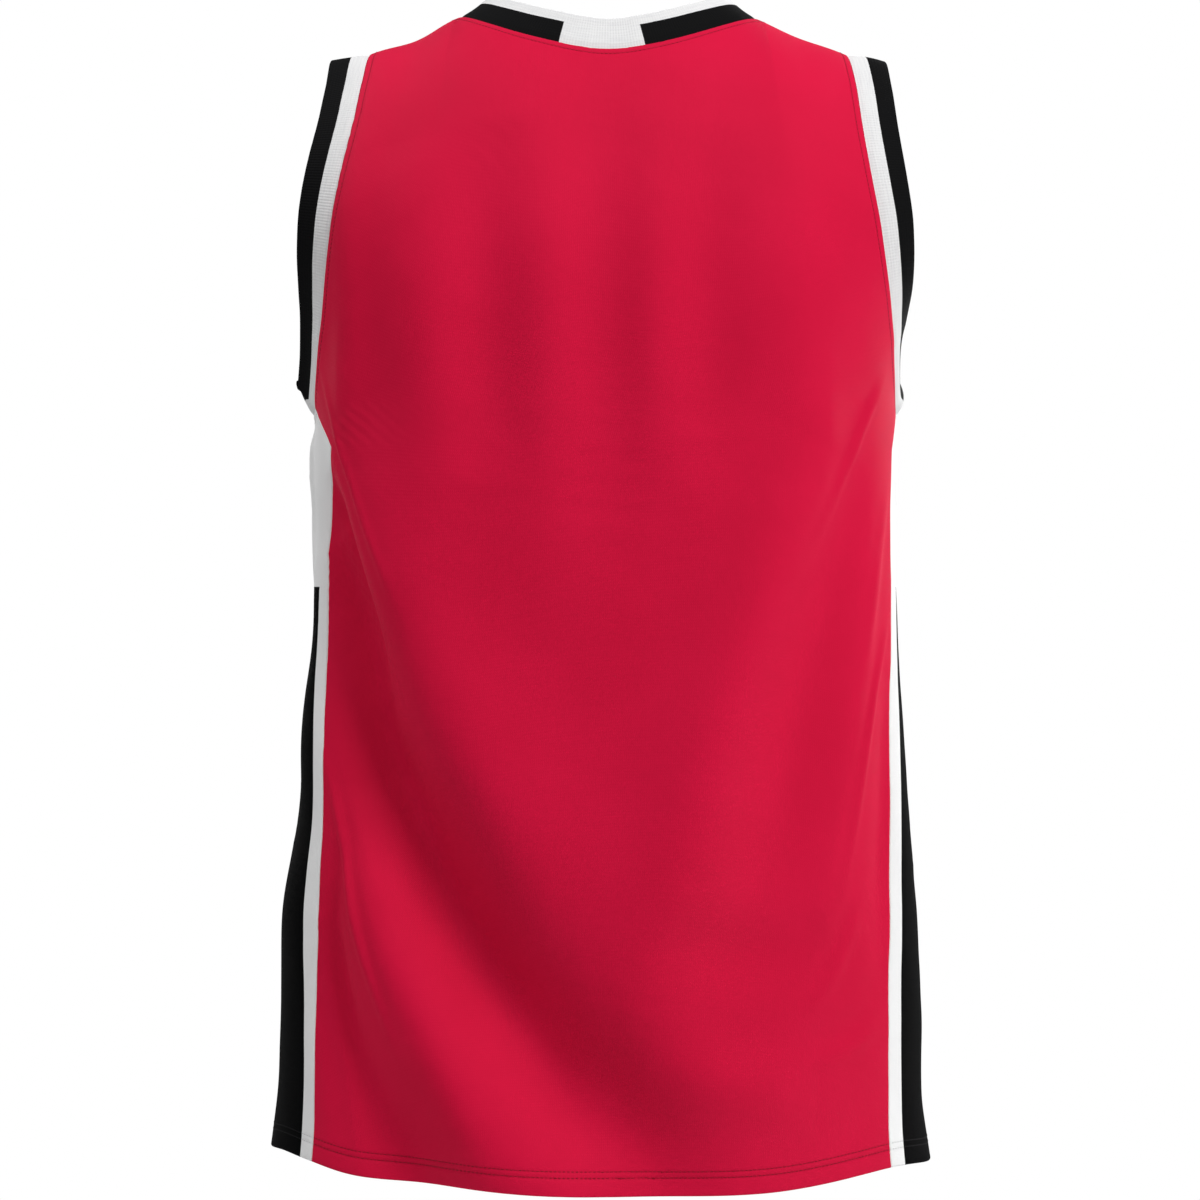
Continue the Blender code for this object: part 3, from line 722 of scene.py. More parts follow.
panels, outsides = {}, {}
for name in places:
    points, faces, measures = cut_panel(name, edge_lines(name))
    piece = mesh_piece(name, points, faces, away_from_axis)
    note(piece, measures)
    outsides[name] = BVHTree.FromPolygons(*as_lists(points, faces))
    apply_modifier(piece, "SOLIDIFY", thickness=CLOTH, offset=-1, material_offset=1)
    smooth_shaded(piece)
    panels[name] = piece
    print(name, len(piece.data.polygons), "faces after its wall")

# %% [markdown]
# ## Rib bands
#
# Collar and armhole bands are strips of rib knit, folded double, so their free edge is round and
# soft. A swept curve could make one, but it would twist in the sharp corner under the arm. Here a
# cross-section is carried round the seam line instead. At every step it knows which way is out of
# the cloth and which way is into the opening, and those ways are smoothed along the seam, so the
# corner turns without a kink. The root of the section is tucked under the panel, as a sewn
# allowance is.

# %% The seam lines of the bands
ARM_BAND, COLLAR = 0.0256, 0.0240
ARM_BAND_LEAN = [
    # height, lean at the seam, lean at the free edge
    (0.000, 27.0, 22.0),
    (-0.050, 9.0, 6.0),
    (-0.100, 10.0, 8.0),
    (-0.150, 18.0, 11.0),
    (-0.180, 11.0, 9.0),
    (-0.200, -4.0, 5.0),
    (-0.220, -18.0, 4.0),
    (-0.238, -10.0, 0.0),
    (-0.250, 16.0, -14.0),
    (-0.260, 40.0, -24.0),
]
ARM_BAND_TWIST = {"left": (0.0, 0.0), "right": (6.0, -7.0)}
TWIST_FROM, TWIST_OVER = -0.22, 0.03
ARM_BAND_CURL = {
    # height, reach up and down, lean added at the seam and at the free edge
    "left": [(-0.232, 0.017, -28.0, 22.0), (-0.257, 0.009, -9.0, 42.0)],
    "right": [(-0.232, 0.017, 0.0, -42.0)],
}
COLLAR_LEAN = {"back": (14.0, 14.0), "side": (8.0, 24.0), "front": (8.0, 14.0)}
arm_lean_at = curve_through(ARM_BAND_LEAN)


def arm_band_leans(key, heights):
    """An armhole band's leans in degrees, at the seam and at the free edge."""
    above = np.clip((heights - TWIST_FROM) / TWIST_OVER, 0, 1)[:, None]
    leans = arm_lean_at(heights) + np.array(ARM_BAND_TWIST[key]) * above
    for height, reach, root, tip in ARM_BAND_CURL[key]:
        leans += np.array((root, tip)) * np.exp(-((heights - height) / reach) ** 2)[:, None]
    return leans


def armhole_places(side, rows, across):
    """Places round an armhole: up its back edge, down its front edge and along under the arm."""
    heights = UNDERARM + np.arange(rows + 1) / rows * (SHOULDER - UNDERARM)
    up, down = side_turn(side, 0.0, heights), side_turn(side, 1.0, heights[-2::-1])
    shares = np.arange(across - 1, 0, -1) / across
    under = UNDERARM - UNDERARM_DIP * 4 * shares * (1 - shares)
    turns = np.concatenate([up, down, side_turn(side, shares, under)])
    return turns, np.concatenate([heights, heights[-2::-1], under])


def neck_places(steps):
    """Places round the neckline, from centre back by the +X side."""
    ahead = np.arange(0, steps + 1) * 90 / steps
    past = np.arange(steps - 1, -steps, -1) * 90 / steps
    home = np.arange(-steps, 0) * 90 / steps
    parts = [neck_place("back", ahead), neck_place("front", past), neck_place("back", home)]
    return np.concatenate([p[0] for p in parts]), np.concatenate([p[1] for p in parts])


def collar_leans(turns):
    """The collar's leans in degrees, at the seam and at the free edge."""
    widest = math.sin(math.radians(float(neck_place("back", np.array(90.0))[0])))
    aside = np.minimum((np.sin(np.radians(turns)) / widest) ** 2, 1.0)[:, None]
    facing = (np.cos(np.radians(turns)) > 0)[:, None]
    middle = np.where(facing, COLLAR_LEAN["back"], COLLAR_LEAN["front"])
    return middle * (1 - aside) + np.array(COLLAR_LEAN["side"]) * aside


def softened(values, times=3):
    """Soften values round a closed loop, each with its neighbours."""
    for _ in range(times):
        values = (np.roll(values, 1, axis=0) + 2 * values + np.roll(values, -1, axis=0)) / 4
    return values


def loop_shares(points):
    """How far round a closed loop each point lies, from 0 up to 1, and the loop's length."""
    steps = np.linalg.norm(np.roll(points, -1, axis=0) - points, axis=1)
    return np.concatenate([[0], np.cumsum(steps)[:-1]]) / steps.sum(), steps.sum()


# %% Which way is out and which way is into the opening
def seam_ways(turns, heights, leans, into):
    """Out of the cloth, into the opening, and leans, round a seam of few points."""
    seam = skin(turns, heights, creased=False)
    out = softened(outward(turns, heights))
    along = softened(np.roll(seam, -1, axis=0) - np.roll(seam, 1, axis=0))
    inward = np.cross(out, along)
    inward /= np.linalg.norm(inward, axis=1, keepdims=True)
    inward *= np.sign((inward * (into - seam)).sum(axis=1).mean())
    out /= np.linalg.norm(out, axis=1, keepdims=True)
    return loop_shares(seam)[0], np.concatenate([out, inward, softened(leans)], axis=1)


def round_a_loop(shares, values):
    """A smooth curve through values round a closed loop."""
    rows = [(share + turn, *row) for turn in (-1, 0, 1) for share, row in zip(shares, values)]
    return curve_through(rows)


def seam_frame(few, many, leans, into):
    """Points of a seam, with smooth ways and leans that are worked out at few and laid on many."""
    shares, values = seam_ways(*few, leans, into)
    seam = skin(*many)
    fine_shares, length = loop_shares(seam)
    values = round_a_loop(shares, values)(fine_shares)
    out, inward = values[:, 0:3], values[:, 3:6]
    out = out / np.linalg.norm(out, axis=1, keepdims=True)
    inward = inward - (inward * out).sum(axis=1, keepdims=True) * out
    inward = inward / np.linalg.norm(inward, axis=1, keepdims=True)
    return {"seam": seam, "out": out, "inward": inward, "leans": values[:, 6:8],
            "run": fine_shares * length, "length": length}


seams = {}
for key, side in (("left", 1), ("right", -1)):
    few, opening = armhole_places(side, 12, 6), (side * 0.2, 0, UNDERARM / 2)
    seams[key] = seam_frame(few, armhole_places(side, 84, 40), arm_band_leans(key, few[1]), opening)
few = neck_places(8)
seams["neck"] = seam_frame(few, neck_places(72), collar_leans(few[0]), (0, 0, 0))
for key, seam in seams.items():
    print("seam", key, round(seam["length"], 4), "m round,", len(seam["seam"]), "points")


# %% A band's section, from its tucked root to its free edge
BAND, TUCK, RIB = 0.0014, 0.0030, 0.0019
TUCKS = [(TUCK, 0.00025), (TUCK * 0.6, 0.0002), (TUCK * 0.25, 0.0001)]
SEAM_GAP, LEAN_GAP = 0.0002, 0.0009
SUNK, RISE, RISE_OVER = 0.00010, 0.00070, 0.0050


def band_section(seam, width):
    """Across a band: centre points, ways through the cloth, steps, and the way at the free edge."""
    steps = np.linspace(0, width - BAND / 2, 19)
    roots, tips = np.radians(seam["leans"]).T[:, :, None]
    place = seam["seam"] + seam["inward"] * (SEAM_GAP + LEAN_GAP * np.abs(np.sin(roots)))
    centres, across = [place], []
    for start, end in zip(steps[:-1], steps[1:]):
        share = (start + end) / 2 / width
        lean = roots + (tips - roots) * share * share * (3 - 2 * share)
        way = seam["inward"] * np.cos(lean) + seam["out"] * np.sin(lean)
        place = place + way * (end - start)
        centres.append(place)
        across.append(seam["out"] * np.cos(lean) - seam["inward"] * np.sin(lean))
    between = [(a + b) / 2 for a, b in zip(across[:-1], across[1:])]
    across = np.array([across[0], *between, across[-1]])
    rise = np.clip(steps / RISE_OVER, 0, 1)
    lift = RISE * rise * rise * (3 - 2 * rise) - SUNK - BAND / 2
    centres = np.array(centres) + across * lift[:, None, None]
    tucks = [centres[0] - seam["inward"] * reach - seam["out"] * sink for reach, sink in TUCKS]
    steps = np.concatenate([[-reach for reach, _ in TUCKS], steps])
    across = np.concatenate([np.repeat(across[:1], len(TUCKS), axis=0), across])
    return np.concatenate([tucks, centres]), across, steps, way


# %% A band carried round its seam
def signed_volume(piece):
    """The volume inside a closed mesh, negative where it is inside out."""
    work = bmesh.new()
    work.from_mesh(piece.data)
    volume = work.calc_volume(signed=True)
    work.free()
    return volume


def make_band(name, seam, width):
    """A closed, doubled band round a seam, with its measures on a UV map."""
    centres, across, steps, way = band_section(seam, width)
    outer, inner = centres + across * BAND / 2, (centres - across * BAND / 2)[::-1]
    turns = np.linspace(0, math.pi, 7)[1:-1, None, None]
    tip = centres[-1] + across[-1] * BAND / 2 * np.cos(turns) + way * BAND / 2 * np.sin(turns)
    ring = np.concatenate([outer, tip, inner])
    reach = np.concatenate([steps, steps[-1] + BAND / 2 * np.sin(turns[:, 0, 0]), steps[::-1]])
    count, around = ring.shape[:2]
    i, j = np.meshgrid(np.arange(count), np.arange(around), indexing="ij")
    corners = [(i, j), (i, j + 1), (i + 1, j + 1), (i + 1, j)]
    faces = [(a % count) * around + b % around for a, b in corners]
    faces = np.stack(faces, axis=-1).reshape(-1, 4)
    ribs = round(seam["length"] / RIB)
    run = np.append(seam["run"], seam["length"]) / seam["length"] * ribs * RIB
    u = np.stack([run[b] for _, b in corners], axis=-1).reshape(-1)
    v = np.stack([np.append(reach, reach[0])[a] for a, _ in corners], axis=-1).reshape(-1)
    piece = mesh_piece(name, ring.reshape(-1, 3), faces, np.zeros_like)
    layer = piece.data.uv_layers.new(name="rib")
    layer.data.foreach_set("uv", np.stack([u, v], axis=-1).ravel().astype(np.float32))
    volume = signed_volume(piece)
    if volume < 0:
        piece.data.flip_normals()
    smooth_shaded(piece)
    print(name, len(faces), "faces, volume", round(abs(volume) * 1e6, 1), "cubic cm")
    return piece


bands = {
    "collar_rib": make_band("collar_rib", seams["neck"], COLLAR),
    "armhole_rib_left": make_band("armhole_rib_left", seams["left"], ARM_BAND),
    "armhole_rib_right": make_band("armhole_rib_right", seams["right"], ARM_BAND),
}

# %% [markdown]
# ## Stitching
#
# The seams themselves are hidden, but rows of sewing show beside them: one beside the collar and
# each armhole, and two along the hem, where a twin needle holds the turned-up edge. A dashed line
# could be painted on, but a real stitch stands up and dives in at both ends. So one stitch is
# modelled from a thin cylinder and then repeated along each row, each copy lying on the
# cloth beneath it.

# %% One stitch
STITCH, THREAD, PITCH = 0.0020, 0.00036, 0.0027
DIVE_FROM, DIVE_DEPTH, BULGE = 0.32, 0.9, 1.15


def pick(stitch, chosen):
    """Select the vertices of an edited mesh that a test accepts."""
    bpy.ops.mesh.select_all(action="DESELECT")
    work = bmesh.from_edit_mesh(stitch.data)
    for vertex in work.verts:
        vertex.select = chosen(vertex.co)
    work.select_flush_mode()
    bmesh.update_edit_mesh(stitch.data)


deselect_all()
bpy.ops.mesh.primitive_cylinder_add(
    vertices=6, radius=THREAD / 2, depth=STITCH, rotation=(0, math.pi / 2, 0))
stitch = bpy.context.object
bpy.ops.object.transform_apply(location=False, rotation=True, scale=False)
bpy.ops.object.mode_set(mode="EDIT")
bpy.ops.mesh.select_mode(type="VERT")
for cut in (-DIVE_FROM, DIVE_FROM):
    bpy.ops.mesh.select_all(action="SELECT")
    bpy.ops.mesh.bisect(plane_co=(cut * STITCH, 0, 0), plane_no=(1, 0, 0))
pick(stitch, lambda place: abs(place.x) > 0.49 * STITCH)  # the ends dive into the cloth
bpy.ops.transform.translate(value=(0, 0, -DIVE_DEPTH * THREAD))
pick(stitch, lambda place: abs(place.x) < 0.40 * STITCH)  # the middle is fuller
bpy.ops.transform.resize(value=(1, BULGE, BULGE))
bpy.ops.object.mode_set(mode="OBJECT")
stitch_points = np.array([v.co for v in stitch.data.vertices])
stitch_faces = [list(p.vertices) for p in stitch.data.polygons]
bpy.data.objects.remove(stitch)
print("one stitch:", len(stitch_faces), "faces,", len(stitch_points), "points")


# %% Rows of stitches on the cloth
ARM_ROW, NECK_ROW = 0.0045, 0.0046  # from the seam line
HEM_ROWS = (0.0110, 0.0147)  # above the hem
INK_SPREAD = 0.003  # black thread begins so far before the black inset


def spaced(line):
    """Points one stitch apart along a line."""
    lengths = running_length(line[None], 1)[0]
    at = np.arange(PITCH / 2, lengths[-1], PITCH)
    return np.stack([np.interp(at, lengths, line[:, k]) for k in range(3)], axis=-1)


def sewn(line, names):
    """For each stitch of a line: its panel, place, ways along and out, and edge distance."""
    spots = spaced(line)
    for number, (spot, way) in enumerate(zip(spots, np.gradient(spots, axis=0))):
        found = [(outsides[name].find_nearest(Vector(spot)), name) for name in names]
        (place, out, _, _), name = min(found, key=lambda item: item[0][3])
        out = out if out.dot(place * Vector((1, 1, 0)) + Vector((0, 0, 0.02))) > 0 else -out
        along = (Vector(way) - out * out.dot(Vector(way))).normalized()
        yield name, place, along, out, PITCH * min(number, len(spots) - number)


def stitches(name, rows):
    """One piece from many stitches."""
    places, alongs, outs = (np.array([row[i] for row in rows]) for i in (1, 2, 3))
    asides = np.cross(outs, alongs)
    x, y, z = stitch_points.T[:, None, :, None]
    points = places[:, None] + x * alongs[:, None] + y * asides[:, None] + z * outs[:, None]
    faces = [[corner + number * len(stitch_points) for corner in face]
             for number in range(len(rows)) for face in stitch_faces]
    piece = mesh_piece(name, points.reshape(-1, 3), faces, np.zeros_like)
    smooth_shaded(piece)
    print(name, len(rows), "stitches")
    return piece


# %% Where the rows lie
def hem_line(name, above):
    """A line on a panel's outside, so far above its hem."""
    sideways = name.startswith("side")
    shares = np.linspace(0.012, 0.988, 300) if sideways else np.linspace(-0.992, 0.992, 600)

    def turn_at(heights):
        if sideways:
            return side_turn(1 if "left" in name else -1, shares, heights)
        return panel_turn(name.split("_")[0], shares, heights)

    heights = hem_at(wrap(turn_at(np.full(len(shares), HEM))))[:, 0] + above
    return skin(turn_at(heights), heights, LIFT)


def thread_of(key, name, inwards):
    """The thread's colour: that of the cloth where it is sewn."""
    if not name.startswith("side"):
        return "red"
    margin = margin_at(HEM)[1 if name.endswith("right") else 0] - INK_SPREAD
    return "black" if key == "hem" and inwards > margin else "white"


sewing = []
for name in places:
    for above in HEM_ROWS:
        sewing += [("hem", *row) for row in sewn(hem_line(name, above), [name])]
for key, reach in (("left", ARM_ROW), ("right", ARM_ROW), ("neck", NECK_ROW)):
    line = seams[key]["seam"] - seams[key]["inward"] * reach
    names = ["back_cloth", "front_cloth"] + ([] if key == "neck" else ["side_cloth_" + key])
    sewing += [(key, *row) for row in sewn(np.concatenate([line, line[:1]]), names)]

threads = {}
for colour in ("red", "white", "black"):
    for key in ("hem", "left", "right", "neck"):
        rows = [row[1:] for row in sewing
                if row[0] == key and thread_of(key, row[1], row[5]) == colour]
        if rows:
            threads[f"stitches_{key}_{colour}"] = stitches(f"stitches_{key}_{colour}", rows)

# %% [markdown]
# ## Finishes
#
# Every cloth here is knitted, so each finish is built on one small pattern: columns of stacked
# V-shaped loops. The pattern is a node group, made once, and each cloth sets how deep its loops
# are. It could be an image, but a formula stays sharp at any distance and at any size.

# %% Helpers for shader nodes
def fill(tree, socket, value):
    """Link a node's input, or set its value."""
    if isinstance(value, bpy.types.NodeSocket):
        tree.links.new(value, socket)
    else:
        socket.default_value = value


def node(tree, kind, inputs=None, **settings):
    """Add a node, set it, and link or fill its inputs."""
    made = tree.nodes.new(kind)
    for key, value in settings.items():
        setattr(made, key, value)
    for key, value in (inputs or {}).items():
        fill(tree, made.inputs[key], value)
    return made


def maths(tree, operation, *values):
    """A Math node's result."""
    return node(tree, "ShaderNodeMath", dict(enumerate(values)), operation=operation).outputs[0]


def times(tree, *values):
    """One value times another."""
    return maths(tree, "MULTIPLY", *values)


def plus(tree, *values):
    """One value and another."""
    return maths(tree, "ADD", *values)


def minus(tree, *values):
    """One value less another."""
    return maths(tree, "SUBTRACT", *values)


def ramp_between(tree, value, start, end):
    """0 before start, 1 past end, and smooth between."""
    made = node(tree, "ShaderNodeMapRange", {"Value": value, "From Min": start, "From Max": end},
                interpolation_type="SMOOTHSTEP")
    return made.outputs["Result"]


def step_at(tree, value, edge, blur):
    """0 below an edge and 1 above it, with a short blur between."""
    return ramp_between(tree, value, edge - blur, edge + blur)


def mixed(tree, factor, first, second):
    """A colour between two."""
    made = node(tree, "ShaderNodeMix", {0: factor}, data_type="RGBA")
    fill(tree, made.inputs[6], first)
    fill(tree, made.inputs[7], second)
    return made.outputs[2]


def measure(tree, name):
    """A measure that was kept on the mesh."""
    return node(tree, "ShaderNodeAttribute", attribute_name=name).outputs["Fac"]


def object_place(tree):
    """Places in the piece's own metres."""
    return node(tree, "ShaderNodeTexCoord").outputs["Object"]


def parts_of(tree, vector):
    """X, Y and Z of a vector."""
    return node(tree, "ShaderNodeSeparateXYZ", {0: vector}).outputs


def soft_noise(tree, vector, scale, detail):
    """A soft noise from 0 to 1."""
    inputs = {"Vector": vector, "Scale": scale, "Detail": detail}
    return node(tree, "ShaderNodeTexNoise", inputs).outputs["Fac"]


# %% Helpers for node groups and materials
def group(name, inputs, outputs):
    """An empty node group with named sockets."""
    tree = bpy.data.node_groups.new(name, "ShaderNodeTree")
    for key, value in inputs.items():
        socket = tree.interface.new_socket(key, in_out="INPUT", socket_type="NodeSocketFloat")
        socket.default_value = value
    for key in outputs:
        tree.interface.new_socket(key, in_out="OUTPUT", socket_type="NodeSocketFloat")
    return tree, tree.nodes.new("NodeGroupInput").outputs, tree.nodes.new("NodeGroupOutput").inputs


def placed(tree, shared, inputs):
    """A shared node group's outputs, with its inputs linked or filled."""
    return node(tree, "ShaderNodeGroup", inputs, node_tree=shared).outputs


def new_material(name, settings):
    """A material with an empty tree but for its shader, set here, and its output."""
    material = bpy.data.materials.new(name)
    material.use_nodes = True
    tree = material.node_tree
    shader = next(n for n in tree.nodes if n.type == "BSDF_PRINCIPLED")
    for key, value in settings.items():
        shader.inputs[key].default_value = value
    return material, tree, shader


def raise_surface(tree, shader, height):
    """Bumps on a surface, from a height in metres."""
    bump = node(tree, "ShaderNodeBump", {"Height": height, "Strength": 1.0, "Distance": 1.0})
    tree.links.new(bump.outputs["Normal"], shader.inputs["Normal"])


# %% The knit pattern and the sewn line
WALE, COURSE = 0.0012, 0.0009


def make_knit_group():
    """Stacked V loops: Height from 0 to 1, and a mask for painted shade in the low places."""
    inputs = {"Around": 0.0, "Up": 0.0, "Column": WALE, "Course": COURSE}
    tree, take, give = group("knit loops", inputs, ["Height", "HoleShade"])
    column = maths(tree, "DIVIDE", take["Around"], take["Column"])
    slant = maths(tree, "PINGPONG", column, 0.5)
    rise = plus(tree, maths(tree, "DIVIDE", take["Up"], take["Course"]), times(tree, slant, -1.1))
    loop = maths(tree, "SINE", times(tree, rise, 2 * math.pi))
    leg = maths(tree, "SINE", times(tree, slant, 2 * math.pi))
    ribbed = maths(tree, "SINE", times(tree, maths(tree, "FRACT", column), math.pi))
    height = plus(tree, times(tree, loop, 0.22), times(tree, leg, 0.5))
    height = plus(tree, height, times(tree, ribbed, 0.2))
    tree.links.new(height, give["Height"])
    # the low places between the loops, where painted shade goes
    tree.links.new(minus(tree, 1.0, ramp_between(tree, height, 0.05, 0.35)), give["HoleShade"])
    return tree


def make_needle_group():
    """A line of sewing at a distance from an edge: a soft furrow, with puckers across it."""
    inputs = {"Distance": 0.0, "Line": 0.003, "Reach": 0.002, "Along": 0.0, "Pitch": PITCH}
    tree, take, give = group("sewn line", inputs, ["Furrow"])
    aside = minus(tree, take["Distance"], take["Line"])
    aside = maths(tree, "DIVIDE", aside, take["Reach"])
    furrow = maths(tree, "EXPONENT", times(tree, times(tree, aside, aside), -1.0))
    turn = times(tree, maths(tree, "DIVIDE", take["Along"], take["Pitch"]), 2 * math.pi)
    pucker = plus(tree, times(tree, maths(tree, "COSINE", turn), 0.10), 0.90)
    tree.links.new(times(tree, furrow, pucker), give["Furrow"])
    return tree


knit_loops, sewn_line = make_knit_group(), make_needle_group()


# %% Colours and sewn rows of the panels
RED, RED_DEEP = (0.66, 0.0062, 0.048, 1), (0.61, 0.0052, 0.042, 1)
# painted shade: darker red between the loops and in the sewn furrows
RED_HOLE_SHADE, RED_FURROW_SHADE = (0.36, 0.004, 0.025, 1), (0.28, 0.003, 0.020, 1)
RED_TINT, WHITE_TINT = (1.0, 0.10, 0.20, 1), (1, 1, 1, 1)
WHITE = (0.87, 0.87, 0.87, 1)
# painted shade: grey between the loops and in the sewn furrows of the white
WHITE_HOLE_SHADE, WHITE_FURROW_SHADE = (0.55, 0.55, 0.56, 1), (0.50, 0.50, 0.51, 1)
INK, INK_GHOST = (0.0016, 0.0016, 0.0018, 1), (0.16, 0.16, 0.17, 1)
INSET_TOP, INSET_BLUR = -0.3683, 0.0005
SEWN = [
    # edge that the row follows, way it runs, distance from the edge,
    # half width and depth of its furrow
    ("from_neck", "around", NECK_ROW, 0.0016, 0.00030),
    ("from_arm", "up", ARM_ROW, 0.0012, 0.00022),
    ("from_hem", "around", HEM_ROWS[0], 0.0015, 0.00032),
    ("from_hem", "around", HEM_ROWS[1], 0.0011, 0.00020),
]


# %% Panel knits
def panel_knit(name, colour_of, specular, sheen, tint, loop_depth):
    """A smooth sports knit whose colour is worked out by colour_of(tree, loops, shade)."""
    material, tree, shader = new_material(name, {
        "Roughness": 0.58, "Specular IOR Level": specular,
        "Sheen Weight": sheen, "Sheen Roughness": 0.45, "Sheen Tint": tint})
    loops = placed(tree, knit_loops, {"Around": measure(tree, "around"), "Up": measure(tree, "up")})
    furrows = shade = 0.0
    for edge, along, line, reach, depth in SEWN:
        row = placed(tree, sewn_line, {
            "Distance": measure(tree, edge), "Along": measure(tree, along),
            "Line": line, "Reach": reach})
        furrows = plus(tree, furrows, times(tree, row["Furrow"], -depth))
        # painted shade that darkens the colour along each sewn furrow
        shade = plus(tree, shade, maths(tree, "POWER", row["Furrow"], 5.0))
    tree.links.new(colour_of(tree, loops, shade), shader.inputs["Base Color"])
    raise_surface(tree, shader, plus(tree, times(tree, loops["Height"], loop_depth), furrows))
    return material


def red_colour(tree, loops, shade):
    """Red with a slow change of depth, and painted shade between loops and in sewn furrows."""
    cloud = soft_noise(tree, object_place(tree), 9.0, 3.0)
    colour = mixed(tree, ramp_between(tree, cloud, 0.3, 0.7), RED_DEEP, RED)
    # painted shade between the loops
    colour = mixed(tree, times(tree, loops["HoleShade"], 0.35), colour, RED_HOLE_SHADE)
    # painted shade in the sewn furrows
    return mixed(tree, times(tree, shade, 0.60), colour, RED_FURROW_SHADE)


def inset_print(ink):
    """White with an inset printed in an ink: black outside, inside the ghost that soaks through."""
    def colour(tree, loops, shade):
        height = parts_of(tree, object_place(tree))["Z"]
        # painted shade between the loops
        white = mixed(tree, times(tree, loops["HoleShade"], 0.30), WHITE, WHITE_HOLE_SHADE)
        # painted shade in the sewn furrows
        white = mixed(tree, times(tree, shade, 0.30), white, WHITE_FURROW_SHADE)
        inside = step_at(tree, measure(tree, "inset"), 0.0, 0.0002)
        below = ramp_between(tree, height, INSET_TOP, INSET_TOP - INSET_BLUR)
        return mixed(tree, times(tree, inside, below), white, ink)
    return colour


cloths = {
    # the outside and the inside: specular, sheen, its tint, depth of the loops
    "red": [
        panel_knit("red knit", red_colour, 0.05, 0.10, RED_TINT, 0.00012),
        panel_knit("red knit inside", red_colour, 0.07, 0.04, RED_TINT, 0.00020),
    ],
    "side": [
        panel_knit("side knit", inset_print(INK), 0.02, 0.0, WHITE_TINT, 0.00012),
        panel_knit("side knit inside", inset_print(INK_GHOST), 0.05, 0.02, WHITE_TINT, 0.00020),
    ],
}
for name, piece in panels.items():
    piece.data.materials.clear()
    for cloth in cloths["side" if name.startswith("side") else "red"]:
        piece.data.materials.append(cloth)
    print(name, "finished with", [m.name for m in piece.data.materials])


# %% Rib knits in two colours
BLACK, RIB_WHITE = (0.0040, 0.0040, 0.0043, 1), (0.73, 0.73, 0.73, 1)
# the darker rib colour: random streaks of the yarn, and painted shade in the grooves between the
# ribs
RIB_STREAK_AND_GROOVE_SHADE = (0.665, 0.665, 0.675, 1)
RIB_COURSE = 0.0021
ARM_WHITE, COLLAR_BLACK, STRIPE_EDGE = 0.0117, 0.0165, 0.00015  # up the band from the seam
MIDDLE_AT, MIDDLE_HALF, MIDDLE_TAPER = 0.0042, 0.0272, 0.20  # of the white at the centre back


def rib_knit(name, colour_of):
    """A rib knit with upright ribs and level courses, read from the band's UV map."""
    material, tree, shader = new_material(name, {"Roughness": 0.75, "Specular IOR Level": 0.05})
    place = parts_of(tree, node(tree, "ShaderNodeUVMap", uv_map="rib").outputs["UV"])
    rib = maths(tree, "COSINE", times(tree, place["X"], 2 * math.pi / RIB))
    course = maths(tree, "COSINE", times(tree, place["Y"], 2 * math.pi / RIB_COURSE))
    raise_surface(tree, shader, plus(tree, times(tree, rib, 0.00006), times(tree, course, 0.00003)))
    grain = node(tree, "ShaderNodeCombineXYZ", {"X": times(tree, place["X"], 45.0),
                                                "Y": times(tree, place["Y"], 1300.0)})
    streak = ramp_between(tree, soft_noise(tree, grain.outputs[0], 1.0, 2.0), 0.30, 0.62)
    # darker towards the rib grooves as painted shade, and in random streaks
    white = mixed(tree, plus(tree, times(tree, rib, 0.22), streak), RIB_STREAK_AND_GROOVE_SHADE, RIB_WHITE)
    tree.links.new(colour_of(tree, place, white), shader.inputs["Base Color"])
    return material


def arm_rib_colour(tree, place, white):
    """White beside the seam and black along the free edge."""
    return mixed(tree, step_at(tree, place["Y"], ARM_WHITE, STRIPE_EDGE), white, BLACK)


def collar_rib_colour(tree, place, white):
    """Black with a white free edge, and white right across at the centre back."""
    spot = parts_of(tree, object_place(tree))
    aside = maths(tree, "ABSOLUTE", minus(tree, spot["X"], MIDDLE_AT))
    half = minus(tree, MIDDLE_HALF, times(tree, place["Y"], MIDDLE_TAPER))
    middle = minus(tree, 1.0, step_at(tree, minus(tree, aside, half), 0.0, 0.0002))
    middle = times(tree, middle, maths(tree, "GREATER_THAN", spot["Y"], 0.0))
    edge = step_at(tree, place["Y"], COLLAR_BLACK, STRIPE_EDGE)
    return mixed(tree, maths(tree, "MAXIMUM", middle, edge), BLACK, white)


rib_finishes = {
    "collar": rib_knit("collar rib", collar_rib_colour),
    "armhole": rib_knit("armhole rib", arm_rib_colour),
}
for name, piece in bands.items():
    piece.data.materials.append(rib_finishes[name.split("_")[0]])
    print(name, "finished with", piece.data.materials[0].name)


# %% Threads
def thread_finish(name, light, dark):
    """Spun thread: two close shades and a little fuzz."""
    material, tree, shader = new_material(name, {"Roughness": 0.6, "Specular IOR Level": 0.15})
    spun = soft_noise(tree, object_place(tree), 2400.0, 2.0)
    colour = mixed(tree, ramp_between(tree, spun, 0.35, 0.65), dark, light)
    tree.links.new(colour, shader.inputs["Base Color"])
    raise_surface(tree, shader, times(tree, spun, 0.00004))
    return material


# the red and white threads are coloured darker than their cloth: painted shade of the stitches
thread_finishes = {
    "red": thread_finish("red thread", (0.27, 0.003, 0.017, 1), (0.18, 0.002, 0.011, 1)),
    "white": thread_finish("white thread", (0.60, 0.60, 0.61, 1), (0.46, 0.46, 0.47, 1)),
    "black": thread_finish("black thread", (0.010, 0.010, 0.011, 1), (0.004, 0.004, 0.004, 1)),
}
for name, piece in threads.items():
    piece.data.materials.append(thread_finishes[name.split("_")[-1]])

# %% [markdown]
# ## The pieces on the body, and their flat sizes
#
# Each sheet rides on the body and hides the plain wall that it stands for. The flat size it had
# on the cutting table is worked out and printed.

